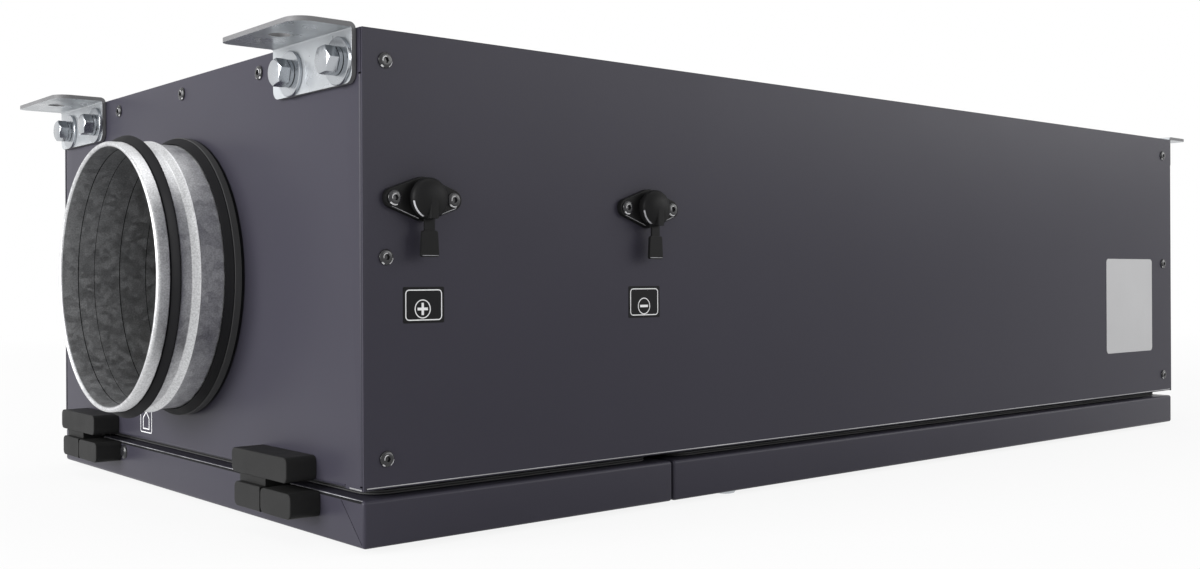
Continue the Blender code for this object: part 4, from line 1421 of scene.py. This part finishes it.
@dataclass
class Bracket:
    """A folded angle bracket with a rod hole, held by two bolts."""

    name: str
    end: End
    y: float
    length: float = 0.0826
    sheet: float = 0.0025
    leg: float = 0.0297
    reach: float = 0.0334
    top_z: float = 0.2577
    corner: float = 0.0055
    big_corner: float = 0.0105
    bend: float = 0.0035
    rod_radius: float = 0.0055
    rod_reach: float = 0.0200
    bolt_radius: float = 0.0045
    bolt_drop: float = 0.0180
    bolt_spacing: float = 0.0500
    bolt_shift: float = -0.0047
    bolt_turn: float = 54.0
    bolt: HexBolt = field(default_factory=HexBolt)

    @property
    def matrix(self) -> Matrix:
        """Give the bracket's place, its leg against the end panel."""
        return self.end.turn @ Matrix.Translation((-HALF_LENGTH, self.y, self.top_z))

    def bolt_places(self) -> list[float]:
        """Give the bolts' places along the bracket."""
        return [self.bolt_shift - self.bolt_spacing / 2.0, self.bolt_shift + self.bolt_spacing / 2.0]

    def angle(self) -> None:
        """Make the folded sheet: the level flange, the bend and the hanging leg."""
        half = self.length / 2.0
        fold = -FIT - self.bend
        flange = Form.flat((-self.reach, -half), (fold, half))
        outer = [vert for vert in flange.mesh.verts if vert.co.x < fold - 0.001]
        flange.round_corners([vert for vert in outer if vert.co.y < 0.0], self.big_corner, 8)
        outer = [vert for vert in flange.mesh.verts if vert.co.x < fold - 0.001 and vert.co.y > half - 0.001]
        flange.round_corners(outer, self.corner, 8)
        flange.pierced([(-self.rod_reach, 0.0, self.rod_radius)], 48)

        leg = Form.flat((self.bend, -half), (self.leg, half))
        lower = [vert for vert in leg.mesh.verts if vert.co.x > self.leg - 0.001]
        leg.round_corners(lower, self.corner, 8)
        leg.pierced([(self.bolt_drop, place, self.bolt_radius) for place in self.bolt_places()], 32)
        leg.placed(Matrix.Translation((-FIT, 0.0, 0.0)) @ Matrix.Rotation(math.pi / 2.0, 4, "Y"))

        curve = Form()
        verts = [curve.mesh.verts.new((fold, place, 0.0)) for place in (-half, half)]
        edge = curve.mesh.edges.new(verts)
        curve.spun([*verts, edge], math.pi / 2.0, 8, centre=(fold, 0.0, -self.bend), axis=(0.0, 1.0, 0.0))
        form = flange.joined(leg, curve).welded(1e-5).looking_up()
        fit(form.placed(self.matrix), f"hanger_{self.name}", ZINC_SHEET, Body.HOUSING, (f"bracket_{self.name}",),
            Trim(wall=self.sheet, edge=0.0005, cut=CUT_EDGE))

    def bolts(self) -> None:
        """Make the two bolts with their washers."""
        groups = {"bolts": Form(), "spring_washers": Form(), "washers": Form()}
        for number, place in enumerate(self.bolt_places()):
            out = Matrix.Translation((-FIT - self.sheet, place, -self.bolt_drop)) @ end_axes(-1.0)
            spin = Matrix.Rotation(math.radians(self.bolt_turn - 8.0 * number), 4, "Z")
            makers = (("bolts", self.bolt.hexagon), ("spring_washers", self.bolt.spring),
                      ("washers", self.bolt.washer))
            for word, maker in makers:
                groups[word].joined(maker().placed(self.matrix @ out @ spin))
        for word, group in groups.items():
            fit(group, f"{word}_{self.name}", ZINC, Body.HOUSING, trim=Trim(smooth=35.0))

    def build(self) -> None:
        """Make the bracket and its bolts."""
        self.angle()
        self.bolts()


@dataclass
class Hinge:
    """A moulded lift-off hinge: a leaf with a pin on the casing and a knuckle on the lid."""

    end: End
    side: str
    y: float
    lid: Body
    depth: float = 0.0170
    upper_width: float = 0.0626
    lower_width: float = 0.0636
    stagger: float = 0.0030
    upper_height: float = 0.0130
    knuckle_height: float = 0.0132
    axis_z: float = 0.0170
    corner: float = 0.0034
    seam: float = 0.0006
    tongue_recess: float = 0.0035
    back_gap: float = 0.0009
    pin_radius: float = 0.0023
    pin_length: float = 0.0200
    pin_clearance: float = 0.0003
    soft_edge: float = 0.0006

    @property
    def word(self) -> str:
        """Give the hinge's words in piece names."""
        return f"{self.end.label}_{self.side}"

    @property
    def matrix(self) -> Matrix:
        """Give the place of the hinge's pin."""
        out = FIT + self.depth / 2.0
        return self.end.turn @ Matrix.Translation((-HALF_LENGTH - out, self.y, self.axis_z))

    def block(self, low: Point, high: Point) -> Form:
        """Make a moulded block: rounded along X, with softened outer edges.

        Args:
            low: Its lowest corner.
            high: Its highest corner.

        Returns:
            The closed form.
        """
        form = Form.block(low, high)
        form.round_edges(form.edges_along(0), self.corner, 8)
        face = min(form.mesh.faces, key=lambda item: item.calc_center_median().x)
        form.round_edges(list(face.edges), self.soft_edge, 3)
        return form.outward()

    def fixed_knuckle(self) -> Form:
        """Make the casing's own knuckle, rounded where the lid's end swings past.

        Returns:
            The closed form.
        """
        half = self.knuckle_height / 2.0
        front = -self.depth / 2.0
        back = FIT + self.depth / 2.0 - self.back_gap
        low, high = self.seam / 2.0, (self.lower_width - self.stagger) / 2.0
        block = self.block((front, low - 2.0 * self.corner, -half), (back + 0.002, high, half))
        swept = Form.pillar(back, (0.0, low, 0.0), (0.0, high + 0.001, 0.0), 96)
        swept.combined(Form.block((front - 0.001, low, -half - 0.001), (0.0, high + 0.001, half + 0.001)),
                       Combine.JOIN)
        swept.combined(Form.block((-0.001, low, 0.0), (back, high + 0.001, half + 0.001)), Combine.JOIN)
        return block.combined(swept, Combine.CROSS)

    def leaf(self) -> None:
        """Make the casing's leaf with its tongue, knuckle and pin."""
        front, back = -self.depth / 2.0, self.depth / 2.0
        half_width = (self.lower_width + self.stagger) / 2.0
        low = BASE_Z + FIT - self.axis_z
        form = self.block((front, half_width - self.upper_width, low),
                          (back, half_width, low + self.upper_height))
        tongue = Form.block((front + self.tongue_recess, self.seam / 2.0, self.knuckle_height / 2.0 - 0.001),
                            (back - self.back_gap, half_width - self.stagger - 0.0002, low + 0.001))
        pin = Form.pillar(self.pin_radius, (0.0, -self.seam / 2.0 - self.pin_length, 0.0),
                          (0.0, self.seam / 2.0 + 0.004, 0.0), 32)
        for part in (tongue, self.fixed_knuckle(), pin):
            form.combined(part, Combine.JOIN)
        fit(form.placed(self.matrix), f"hinge_upper_{self.word}", PLASTIC, Body.HOUSING,
            (f"hinge_leaf_{self.word}",), Trim(smooth=30.0))

    def knuckle(self) -> None:
        """Make the lid's knuckle with its bore."""
        half = self.knuckle_height / 2.0
        half_width = (self.lower_width + self.stagger) / 2.0
        form = self.block((-self.depth / 2.0, -half_width, -half),
                          (self.depth / 2.0, -self.seam / 2.0, half))
        bore = Form.pillar(self.pin_radius + self.pin_clearance,
                           (0.0, -self.seam / 2.0 - self.pin_length - 0.001, 0.0), (0.0, 0.001, 0.0), 32)
        form.combined(bore, Combine.CUT)
        fit(form.placed(self.matrix), f"hinge_lower_{self.word}", PLASTIC, self.lid,
            (f"hinge_knuckle_{self.word}",), Trim(smooth=30.0))

    def build(self) -> None:
        """Make both halves of the hinge."""
        self.leaf()
        self.knuckle()


@dataclass
class Lid:
    """A folded lid tray with mitred corners, its ribbed gasket and a rivet beside a hinge."""

    name: str
    body: Body
    end: End
    low_x: float
    high_x: float
    lip: float = 0.018
    gasket_inset: float = 0.0085
    gasket_width: float = 0.0080
    gasket_corner: float = 0.012
    mitre_gap: float = 0.0004
    rivet_y: float = 0.0973
    rivet_z: float = 0.0172
    rivet_radius: float = 0.0047
    rivet_rise: float = 0.0020

    def tray(self) -> None:
        """Make the tray, open above, with its inward lips."""
        form = Form.flat((self.low_x, -HALF_WIDTH), (self.high_x, HALF_WIDTH))
        middle_x = (self.low_x + self.high_x) / 2.0
        outline = [edge for edge in form.mesh.edges if edge.is_boundary]
        verts, edges = form.drawn_out(outline, Vector((0.0, 0.0, LID_HEIGHT)))
        verts, edges = form.drawn_out([edge for edge in edges if edge.is_boundary], Vector((0.0, 0.0, 0.0)))
        for vert in verts:
            vert.co.x -= math.copysign(self.lip, vert.co.x - middle_x)
            vert.co.y -= math.copysign(self.lip, vert.co.y)
        form.looking_up()
        bmesh.ops.reverse_faces(form.mesh, faces=form.mesh.faces)
        form.round_edges(form.sharp_edges(), BEND, 6)
        self.mitre_corners(form)
        fit(form, f"{self.name}_tray", GRAPHITE, self.body, (self.name,), PANEL_TRIM)

    def gasket(self) -> None:
        """Make the ribbed rubber gasket on the lips."""
        low_z, high_z = LID_HEIGHT + FIT, BASE_Z - FIT
        wide, ribs = self.gasket_width, 3
        pitch = (high_z - low_z) / ribs
        groove = 0.0012
        outer: list[Pair] = []
        for rib in range(ribs):
            base = low_z + rib * pitch
            outer += [(-groove, base + 0.04 * pitch), (0.0, base + 0.24 * pitch), (0.0, base + 0.76 * pitch),
                      (-groove, base + 0.96 * pitch)]
        inner = [(-wide - out - groove, z) for out, z in reversed(outer)]
        low = (self.low_x + self.gasket_inset, -HALF_WIDTH + self.gasket_inset)
        high = (self.high_x - self.gasket_inset, HALF_WIDTH - self.gasket_inset)
        form = Form.framed(outer + inner, low, high, self.gasket_corner)
        fit(form, f"{self.name}_seal", GREY_RUBBER, self.body, (f"{self.name}_gasket",), Trim(smooth=25.0))

    def mitre_corners(self, form: Form) -> None:
        """Cut the mitre gaps of the folded corners through the hinge end's wall.

        Args:
            form: The tray's sheet.
        """
        for side in (-1.0, 1.0):
            walls = [face for face in form.mesh.faces if face.normal.x * self.end.sign > 0.99]
            wall = max(walls, key=lambda face: face.calc_area())
            corner = (self.end.sign * HALF_LENGTH, side * (HALF_WIDTH - BEND * 0.2), BEND * 0.2)
            form.slit(wall, corner, (0.0, side, 1.0), self.mitre_gap)

    def rivet(self) -> None:
        """Make the domed rivet beside the hinge at the end wall's one side."""
        rise, wide = self.rivet_rise, self.rivet_radius
        dome = [(0.0, rise), (wide * 0.5, rise * 0.94), (wide * 0.8, rise * 0.72), (wide * 0.95, rise * 0.42),
                (wide, rise * 0.18), (wide, 0.0), (0.0, 0.0)]
        spot = Matrix.Translation((self.end.sign * HALF_LENGTH, -self.end.sign * self.rivet_y, self.rivet_z))
        form = Form.turned(dome, steps=40).placed(spot @ end_axes(self.end.sign))
        fit(form, f"{self.name}_rivet", SCREW_STEEL, self.body, trim=Trim(smooth=60.0))

    def build(self) -> None:
        """Make the lid's pieces."""
        self.tray()
        self.gasket()
        self.rivet()


@dataclass
class LidLocks:
    """The round heads of the quarter-turn locks under the long lid."""

    x: float = -0.1530
    y: float = 0.1995
    radius: float = 0.0070
    rise: float = 0.0028
    slot_width: float = 0.0016
    slot_depth: float = 0.0012

    def build(self) -> None:
        """Make one slotted head near each long side."""
        group = Form()
        for side in (-1.0, 1.0):
            points = [(0.0, self.rise), (self.radius * 0.72, self.rise), (self.radius * 0.90, self.rise * 0.86),
                      (self.radius, self.rise * 0.45), (self.radius, 0.0), (0.0, 0.0)]
            head = Form.turned(points, steps=48)
            notch = Form.block((-self.radius * 0.8, -self.slot_width / 2.0, self.rise - self.slot_depth),
                               (self.radius * 0.8, self.slot_width / 2.0, self.rise + 0.001))
            head.combined(notch, Combine.CUT)
            down = Matrix.Translation((self.x, side * self.y, 0.0)) @ Matrix.Rotation(math.pi, 4, "X")
            group.joined(head.placed(down @ Matrix.Rotation(math.radians(20.0), 4, "Z")))
        fit(group, "lid_lock_heads", ZINC, Body.LONG_LID)


@dataclass
class PressurePort:
    """A screwed port flange with a collar, closed by a domed cap with a pull strap."""

    number: int
    x: float
    z: float = 0.1720
    screw_spacing: float = 0.0352
    end_radius: float = 0.0052
    hub_radius: float = 0.0112
    sheet: float = 0.0030
    neck_radius: float = 0.0088
    neck_rise: float = 0.0030
    cap_radius: float = 0.0105
    cap_rim: float = 0.0013
    cap_rise: float = 0.0062
    rib_width: float = 0.0046
    strap_width: float = 0.0060
    strap_sheet: float = 0.0012
    strap_length: float = 0.0055
    tab_width: float = 0.0108
    tab_sheet: float = 0.0020
    tab_length: float = 0.0132
    # Width and inset of the painted highlight lines.
    highlight_width: float = 0.0003
    highlight_inset: float = 0.0006
    screw: ButtonScrew = field(default_factory=lambda: ButtonScrew(radius=0.0039, rim_glints=((-140.0, -70.0),)))

    @property
    def matrix(self) -> Matrix:
        """Give the port's place on the front side."""
        return Matrix.Translation((self.x, -HALF_WIDTH - FIT, self.z)) @ side_axes(-1.0)

    def flange(self) -> None:
        """Make the flange with its two ears and the collar."""
        ear = self.screw_spacing / 2.0
        form = Form()
        for x, radius in ((-ear, self.end_radius), (0.0, self.hub_radius), (ear, self.end_radius)):
            form.joined(Form.pillar(radius, (x, 0.0, 0.0), (x, 0.0, self.sheet), 64))
        hull = bmesh.ops.convex_hull(form.mesh, input=form.mesh.verts[:], use_existing_faces=False)
        spare = {item for item in (*hull["geom_interior"], *hull["geom_unused"])
                 if isinstance(item, bmesh.types.BMVert)}
        bmesh.ops.delete(form.mesh, geom=list(spare), context="VERTS")
        inside = [face for face in form.mesh.faces if any(not edge.is_manifold for edge in face.edges)
                  and len(face.verts) > 4]
        bmesh.ops.delete(form.mesh, geom=inside, context="FACES_ONLY")
        bmesh.ops.dissolve_limit(form.mesh, angle_limit=math.radians(1.0), verts=form.mesh.verts,
                                 edges=form.mesh.edges)
        form.outward()
        top = max(form.mesh.faces, key=lambda face: face.calc_center_median().z)
        form.round_edges(list(top.edges), 0.0005, 2)
        neck = Form.pillar(self.neck_radius, (0.0, 0.0, self.sheet / 2.0),
                           (0.0, 0.0, self.sheet + self.neck_rise), 64)
        form.combined(neck, Combine.JOIN)
        fit(form.placed(self.matrix), f"port_flange_{self.number}", PORT_PLASTIC, Body.HOUSING,
            (f"pressure_port_{self.number}",), Trim(smooth=35.0))

    def cap(self) -> None:
        """Make the domed cap with its grip rib, strap and tab."""
        seat = self.sheet + self.neck_rise + FIT
        dome = [(0.0, seat + self.cap_rise)]
        for angle in range(80, -1, -10):
            turn = math.radians(angle)
            dome.append((self.cap_radius * math.cos(turn),
                         seat + self.cap_rim + (self.cap_rise - self.cap_rim) * math.sin(turn)))
        dome += [(self.cap_radius, seat + 0.0003), (self.cap_radius - 0.0003, seat), (0.0, seat)]
        form = Form.turned(dome, steps=64)
        strap_end = -self.cap_radius - self.strap_length
        low, high = seat + self.cap_rim / 2.0, seat + self.cap_rise
        rib = Form.block((-self.rib_width / 2.0, -self.cap_radius * 0.97, low),
                         (self.rib_width / 2.0, 0.0, high))
        rib.round_edges(rib.edges_along(1), 0.0006, 3)
        strap = Form.block((-self.strap_width / 2.0, strap_end - self.strap_sheet, seat + FIT),
                           (self.strap_width / 2.0, -self.cap_radius * 0.7, seat + FIT + self.strap_sheet))
        tab = Form.flat((-self.tab_width / 2.0, strap_end - self.tab_length), (self.tab_width / 2.0, strap_end),
                        0.0012, 4)
        for vert in tab.mesh.verts:
            share = (vert.co.y - strap_end + self.tab_length) / self.tab_length
            vert.co.x *= 1.0 - 0.15 * share
        tab.raised(self.tab_sheet).moved(z=seat)
        tab.round_edges(tab.sharp_edges(70.0), 0.0003, 2)
        for part in (rib, strap, tab):
            form.combined(part, Combine.JOIN)
        fit(form.placed(self.matrix), f"cap_{self.number}", PORT_PLASTIC, Body.HOUSING,
            (f"port_cap_{self.number}",), Trim(smooth=35.0))

    def screws(self) -> None:
        """Make the two screws in the flange's ears."""
        spots = [self.matrix @ Matrix.Translation((side * self.screw_spacing, 0.0, self.sheet))
                 for side in (-0.5, 0.5)]
        self.screw.build("port", str(self.number), spots)

    def lines(self) -> None:
        """Make the painted highlights: fine pale lines on the lower edges of the flange, the cap and the tab,
        standing for light caught by those edges.
        """
        ear, line = self.screw_spacing / 2.0, self.highlight_width
        group = Form()
        for side in (-1.0, 1.0):
            lean = math.asin((self.hub_radius - self.end_radius) / ear)
            out = Vector((side * math.sin(lean), -math.cos(lean)))
            start = Vector((side * ear, 0.0)) + out * (self.end_radius - self.highlight_inset)
            end = out * (self.hub_radius - self.highlight_inset)
            along = Vector((end.x - start.x, end.y - start.y, 0.0))
            form = Form()
            verts = [form.mesh.verts.new((start.x - out.x * back, start.y - out.y * back, self.sheet + PRINT_LIFT))
                     for back in (0.0, line)]
            form.drawn_out([form.mesh.edges.new(verts)], along)
            group.joined(form.looking_up())
        seat = self.sheet + self.neck_rise + FIT
        rim = []
        for angle in (10.0, 20.0):
            turn = math.radians(angle)
            rim.append((self.cap_radius * math.cos(turn) + PRINT_LIFT / 2.0,
                        seat + self.cap_rim + PRINT_LIFT / 2.0 + (self.cap_rise - self.cap_rim) * math.sin(turn)))
        group.joined(Form.arc_band(rim, -172.0, -116.0))
        foot = -self.cap_radius - self.strap_length - self.tab_length + self.highlight_inset
        half = self.tab_width / 2.0 - self.highlight_inset
        group.joined(Form.flat((-half, foot), (half, foot + line)).moved(z=seat + self.tab_sheet + PRINT_LIFT))
        fit(group.placed(self.matrix), f"port_lines_{self.number}", PAINTED_HIGHLIGHT, Body.HOUSING, trim=LINE_TRIM)

    def build(self) -> None:
        """Make the port's pieces."""
        self.flange()
        self.cap()
        self.screws()
        self.lines()


class Sign(Enum):
    """The plain signs on the port labels."""

    PLUS = "plus"
    MINUS = "minus"


@dataclass
class PortLabel:
    """A small black label with a white border and a plain sign in a ring."""

    sign: Sign
    x: float
    z: float
    ring_x: float
    ring_z: float
    width: float = 0.0246
    height: float = 0.0182
    film: float = 0.00015
    corner: float = 0.0008
    margin: float = 0.0013
    border_corner: float = 0.0022
    line: float = 0.00055
    ring_radius: float = 0.0048
    arm: float = 0.0062
    stroke: float = 0.0014

    @property
    def matrix(self) -> Matrix:
        """Give the label's place on the front side."""
        return Matrix.Translation((self.x, -HALF_WIDTH, self.z)) @ side_axes(-1.0)

    def build(self) -> None:
        """Make the film and the print on it."""
        wide, high = self.width / 2.0, self.height / 2.0
        film = Form.flat((-wide, -high), (wide, high), self.corner).raised(self.film)
        fit(film.placed(self.matrix), f"label_film_{self.sign.value}", LABEL_BLACK, Body.HOUSING)

        margin = self.margin
        border = Form.flat((-wide + margin, -high + margin), (wide - margin, high - margin), self.border_corner)
        ring = Form.disc(self.ring_radius).opened(self.line)
        print_form = border.opened(self.line)
        offset = (self.ring_x - self.x, self.ring_z - self.z)
        parts = [ring]
        half_arm, half_stroke = self.arm / 2.0, self.stroke / 2.0
        parts.append(Form.flat((-half_arm, -half_stroke), (half_arm, half_stroke)))
        if self.sign is Sign.PLUS:
            parts.append(Form.flat((-half_stroke, half_stroke), (half_stroke, half_arm)))
            parts.append(Form.flat((-half_stroke, -half_arm), (half_stroke, -half_stroke)))
        for part in parts:
            print_form.joined(part.moved(x=offset[0], y=offset[1]))
        print_form.moved(z=self.film + PRINT_LIFT)
        fit(print_form.placed(self.matrix), f"label_print_{self.sign.value}", PRINT_WHITE, Body.HOUSING,
            trim=PRINT_TRIM)


@dataclass
class PlainPlate:
    """The bare plate on the front side and the small outlined mark under the near spigot."""

    width: float = 0.0803
    height: float = 0.0806
    corner: float = 0.0032
    film: float = 0.0003
    x: float = 0.3432
    z: float = 0.1062
    mark_y: float = 0.0598
    mark_z: float = 0.0412
    border_line: float = 0.00060
    gable_line: float = 0.00075
    gable_rise: float = 0.0044

    def plate(self) -> None:
        """Make the bare white plate."""
        wide, high = self.width / 2.0, self.height / 2.0
        form = Form.flat((-wide, -high), (wide, high), self.corner, 8).raised(self.film)
        spot = Matrix.Translation((self.x, -HALF_WIDTH, self.z))
        fit(form.placed(spot @ side_axes(-1.0)), "bare_plate", PLATE_WHITE, Body.HOUSING, trim=Trim(edge=0.00008))

    def mark(self) -> None:
        """Make the outlined mark: a plain gabled outline in a rounded border."""
        border = Form.flat((-0.0093, -0.0080), (0.0093, 0.0080), 0.0016).opened(self.border_line)
        gable = Form.flat((-0.0052, -0.0058), (0.0052, 0.0016))
        top = max(gable.mesh.edges, key=lambda edge: edge.verts[0].co.y + edge.verts[1].co.y)
        split = bmesh.ops.subdivide_edges(gable.mesh, edges=[top], cuts=1)["geom_inner"]
        ridge = [item for item in split if isinstance(item, bmesh.types.BMVert)]
        bmesh.ops.translate(gable.mesh, vec=(0.0, self.gable_rise, 0.0), verts=ridge)
        form = border.joined(gable.opened(self.gable_line)).moved(z=PRINT_LIFT)
        spot = Matrix.Translation((-HALF_LENGTH, self.mark_y, self.mark_z))
        fit(form.placed(spot @ end_axes(-1.0)), "outlined_mark", PRINT_WHITE, Body.HOUSING, trim=PRINT_TRIM)

    def build(self) -> None:
        """Make the plate and the mark."""
        self.plate()
        self.mark()


@dataclass
class Inside:
    """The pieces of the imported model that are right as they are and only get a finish."""

    wool: tuple[str, ...] = ("lining_top", "lining_front", "lining_back", "lining_near", "lining_far",
                             "lid_short_insulation", "lid_long_insulation")
    sheet: tuple[str, ...] = ("cross_rail",)

    def build(self) -> None:
        """Give each piece its finish."""
        for names, finish in ((self.wool, WOOL), (self.sheet, GRAPHITE)):
            for name in names:
                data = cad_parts[name].data
                data.materials.clear()
                data.materials.append(finish.material())
                LOG.info("%s: carried over with %s", name, finish.name)


@dataclass(frozen=True)
class Lamp:
    """A soft rectangular studio lamp that looks at the unit."""

    name: str
    place: Point
    target: Point
    width: float
    height: float
    power: float

    def build(self) -> None:
        """Hang the lamp."""
        data = bpy.data.lights.new(self.name, "AREA")
        data.shape = "RECTANGLE"
        data.size = self.width
        data.size_y = self.height
        data.energy = self.power
        item = bpy.data.objects.new(self.name, data)
        look = Vector(self.target) - Vector(self.place)
        item.matrix_world = Matrix.Translation(self.place) @ look.to_track_quat("-Z", "Y").to_matrix().to_4x4()
        item.visible_camera = False
        bpy.context.scene.collection.objects.link(item)


@dataclass
class Studio:
    """The floor, the world, the lamps and the camera."""

    floor_z: float = -0.0030
    floor_half: float = 12.0
    floor_colour: Colour = (0.85, 0.85, 0.85)
    floor_white: float = 0.88
    shadow_reach: Pair = (0.9, 2.4)
    ambient: float = 0.45
    camera_place: Point = (-0.74409, -0.75747, 0.13171)
    camera_yaw: float = -40.045
    camera_pitch: float = 0.050
    camera_roll: float = -0.261
    camera_lens: float = 38.6355
    camera_shift: Pair = (0.02133, -0.00583)
    lamps: tuple[Lamp, ...] = (
        Lamp("key_lamp", (-3.4, 0.30, 0.90), (-0.42, 0.0, 0.12), 2.4, 1.7, 158.0),
        Lamp("front_lamp", (2.0, -2.4, 1.15), (0.1, -0.2, 0.2), 3.2, 1.30, 51.0),
        Lamp("top_lamp", (0.0, 0.4, 3.0), (0.0, 0.0, 0.2), 2.6, 2.0, 18.0),
    )

    def seen_ray(self, nodes: Nodes) -> bpy.types.NodeSocket:
        """Tell the rays that show the background from those that light the object.

        Args:
            nodes: The tree.

        Returns:
            A factor of 1 for camera, glossy and transmission rays.
        """
        path = nodes.add("ShaderNodeLightPath")
        first = nodes.maths("ADD", path.outputs["Is Camera Ray"], path.outputs["Is Glossy Ray"])
        return nodes.maths("ADD", first, path.outputs["Is Transmission Ray"], clamp=True)

    def world(self) -> None:
        """Make the white backdrop and the even light from all round."""
        world = bpy.data.worlds.new("studio_world")
        world.use_nodes = True
        nodes = Nodes(world.node_tree)
        light = nodes.add("ShaderNodeBackground", Color=(1.0, 1.0, 1.0, 1.0), Strength=self.ambient)
        white = nodes.add("ShaderNodeBackground", Color=(1.0, 1.0, 1.0, 1.0), Strength=1.0)
        mix = nodes.add("ShaderNodeMixShader", n0=self.seen_ray(nodes), n1=light.outputs[0], n2=white.outputs[0])
        nodes.add("ShaderNodeOutputWorld", Surface=mix.outputs[0])
        bpy.context.scene.world = world

    def floor(self) -> None:
        """Make the pale floor, which shows nearly white and keeps the unit's shadow."""
        material = bpy.data.materials.new("studio_floor")
        material.use_nodes = True
        nodes = Nodes(material.node_tree)
        matt = nodes.add("ShaderNodeBsdfDiffuse", Color=(*self.floor_colour, 1.0))
        glow = nodes.add("ShaderNodeEmission", Color=(1.0, 1.0, 1.0, 1.0), Strength=1.0)
        place = nodes.add("ShaderNodeTexCoord").outputs["Object"]
        away = nodes.add("ShaderNodeVectorMath", {"operation": "LENGTH"}, n0=place).outputs["Value"]
        white = nodes.ramp(away, self.floor_white, 1.0, *self.shadow_reach)
        share = nodes.maths("MULTIPLY", self.seen_ray(nodes), white)
        mix = nodes.add("ShaderNodeMixShader", n0=share, n1=matt.outputs[0], n2=glow.outputs[0])
        nodes.add("ShaderNodeOutputMaterial", Surface=mix.outputs[0])
        half = self.floor_half
        form = Form.flat((-half, -half), (half, half)).moved(z=self.floor_z)
        data = bpy.data.meshes.new("studio_floor")
        form.mesh.to_mesh(data)
        form.mesh.free()
        data.materials.append(material)
        item = bpy.data.objects.new("studio_floor", data)
        bpy.context.scene.collection.objects.link(item)

    def camera(self) -> None:
        """Set the camera where the photograph was taken from."""
        data = bpy.data.cameras.new("studio_camera")
        data.lens = self.camera_lens
        data.sensor_fit = "HORIZONTAL"
        data.sensor_width = 36.0
        data.shift_x, data.shift_y = self.camera_shift
        data.clip_start = 0.01
        yaw, pitch, roll = (math.radians(part) for part in (self.camera_yaw, self.camera_pitch, self.camera_roll))
        ahead = Vector((-math.sin(yaw), math.cos(yaw), 0.0))
        right = Vector((math.cos(yaw), math.sin(yaw), 0.0))
        above = Vector((0.0, 0.0, 1.0))
        tilted = ahead * math.cos(pitch) + above * math.sin(pitch)
        above = above * math.cos(pitch) - ahead * math.sin(pitch)
        across = right * math.cos(roll) + above * math.sin(roll)
        above = above * math.cos(roll) - right * math.sin(roll)
        turn = Matrix((across, above, -tilted)).transposed().to_4x4()
        item = bpy.data.objects.new("studio_camera", data)
        item.matrix_world = Matrix.Translation(self.camera_place) @ turn
        bpy.context.scene.collection.objects.link(item)
        bpy.context.scene.camera = item

    def build(self) -> None:
        """Set up the whole studio."""
        bpy.context.scene.view_settings.view_transform = "Standard"
        self.world()
        self.floor()
        self.camera()
        for lamp in self.lamps:
            lamp.build()


def write_sizes() -> None:
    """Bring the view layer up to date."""
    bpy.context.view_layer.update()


def main() -> None:
    """Build the unit's sub-assemblies in order, then the studio round it."""
    logging.basicConfig(level=logging.INFO, format="%(name)s: %(message)s")
    Inside().build()
    Casing().build()
    PaintedEdgeLights().build()
    PanelScrews().build()
    for end in End:
        Spigot(end).build()
    for name, end, y in (("near_front", End.NEAR, -0.1657), ("near_back", End.NEAR, 0.1697),
                         ("far_back", End.FAR, -0.1657), ("far_front", End.FAR, 0.1697)):
        Bracket(name, end, y).build()
    lids = ((End.NEAR, "lid_short", Body.SHORT_LID, -HALF_LENGTH, JOINT_X - LID_GAP),
            (End.FAR, "lid_long", Body.LONG_LID, JOINT_X + LID_GAP, HALF_LENGTH))
    for end, name, body, low_x, high_x in lids:
        Lid(name, body, end, low_x, high_x).build()
        for side, y in (("front", -0.1359), ("back", 0.1359)):
            Hinge(end, side, -end.sign * y, body).build()
    LidLocks().build()
    PressurePort(1, -0.3863).build()
    PressurePort(2, -0.2310).build()
    PortLabel(Sign.PLUS, -0.3849, 0.1188, -0.3856, 0.1168).build()
    PortLabel(Sign.MINUS, -0.2330, 0.1181, -0.2332, 0.1157).build()
    PlainPlate().build()
    Studio().build()
    write_sizes()


if __name__ == "__main__":
    main()
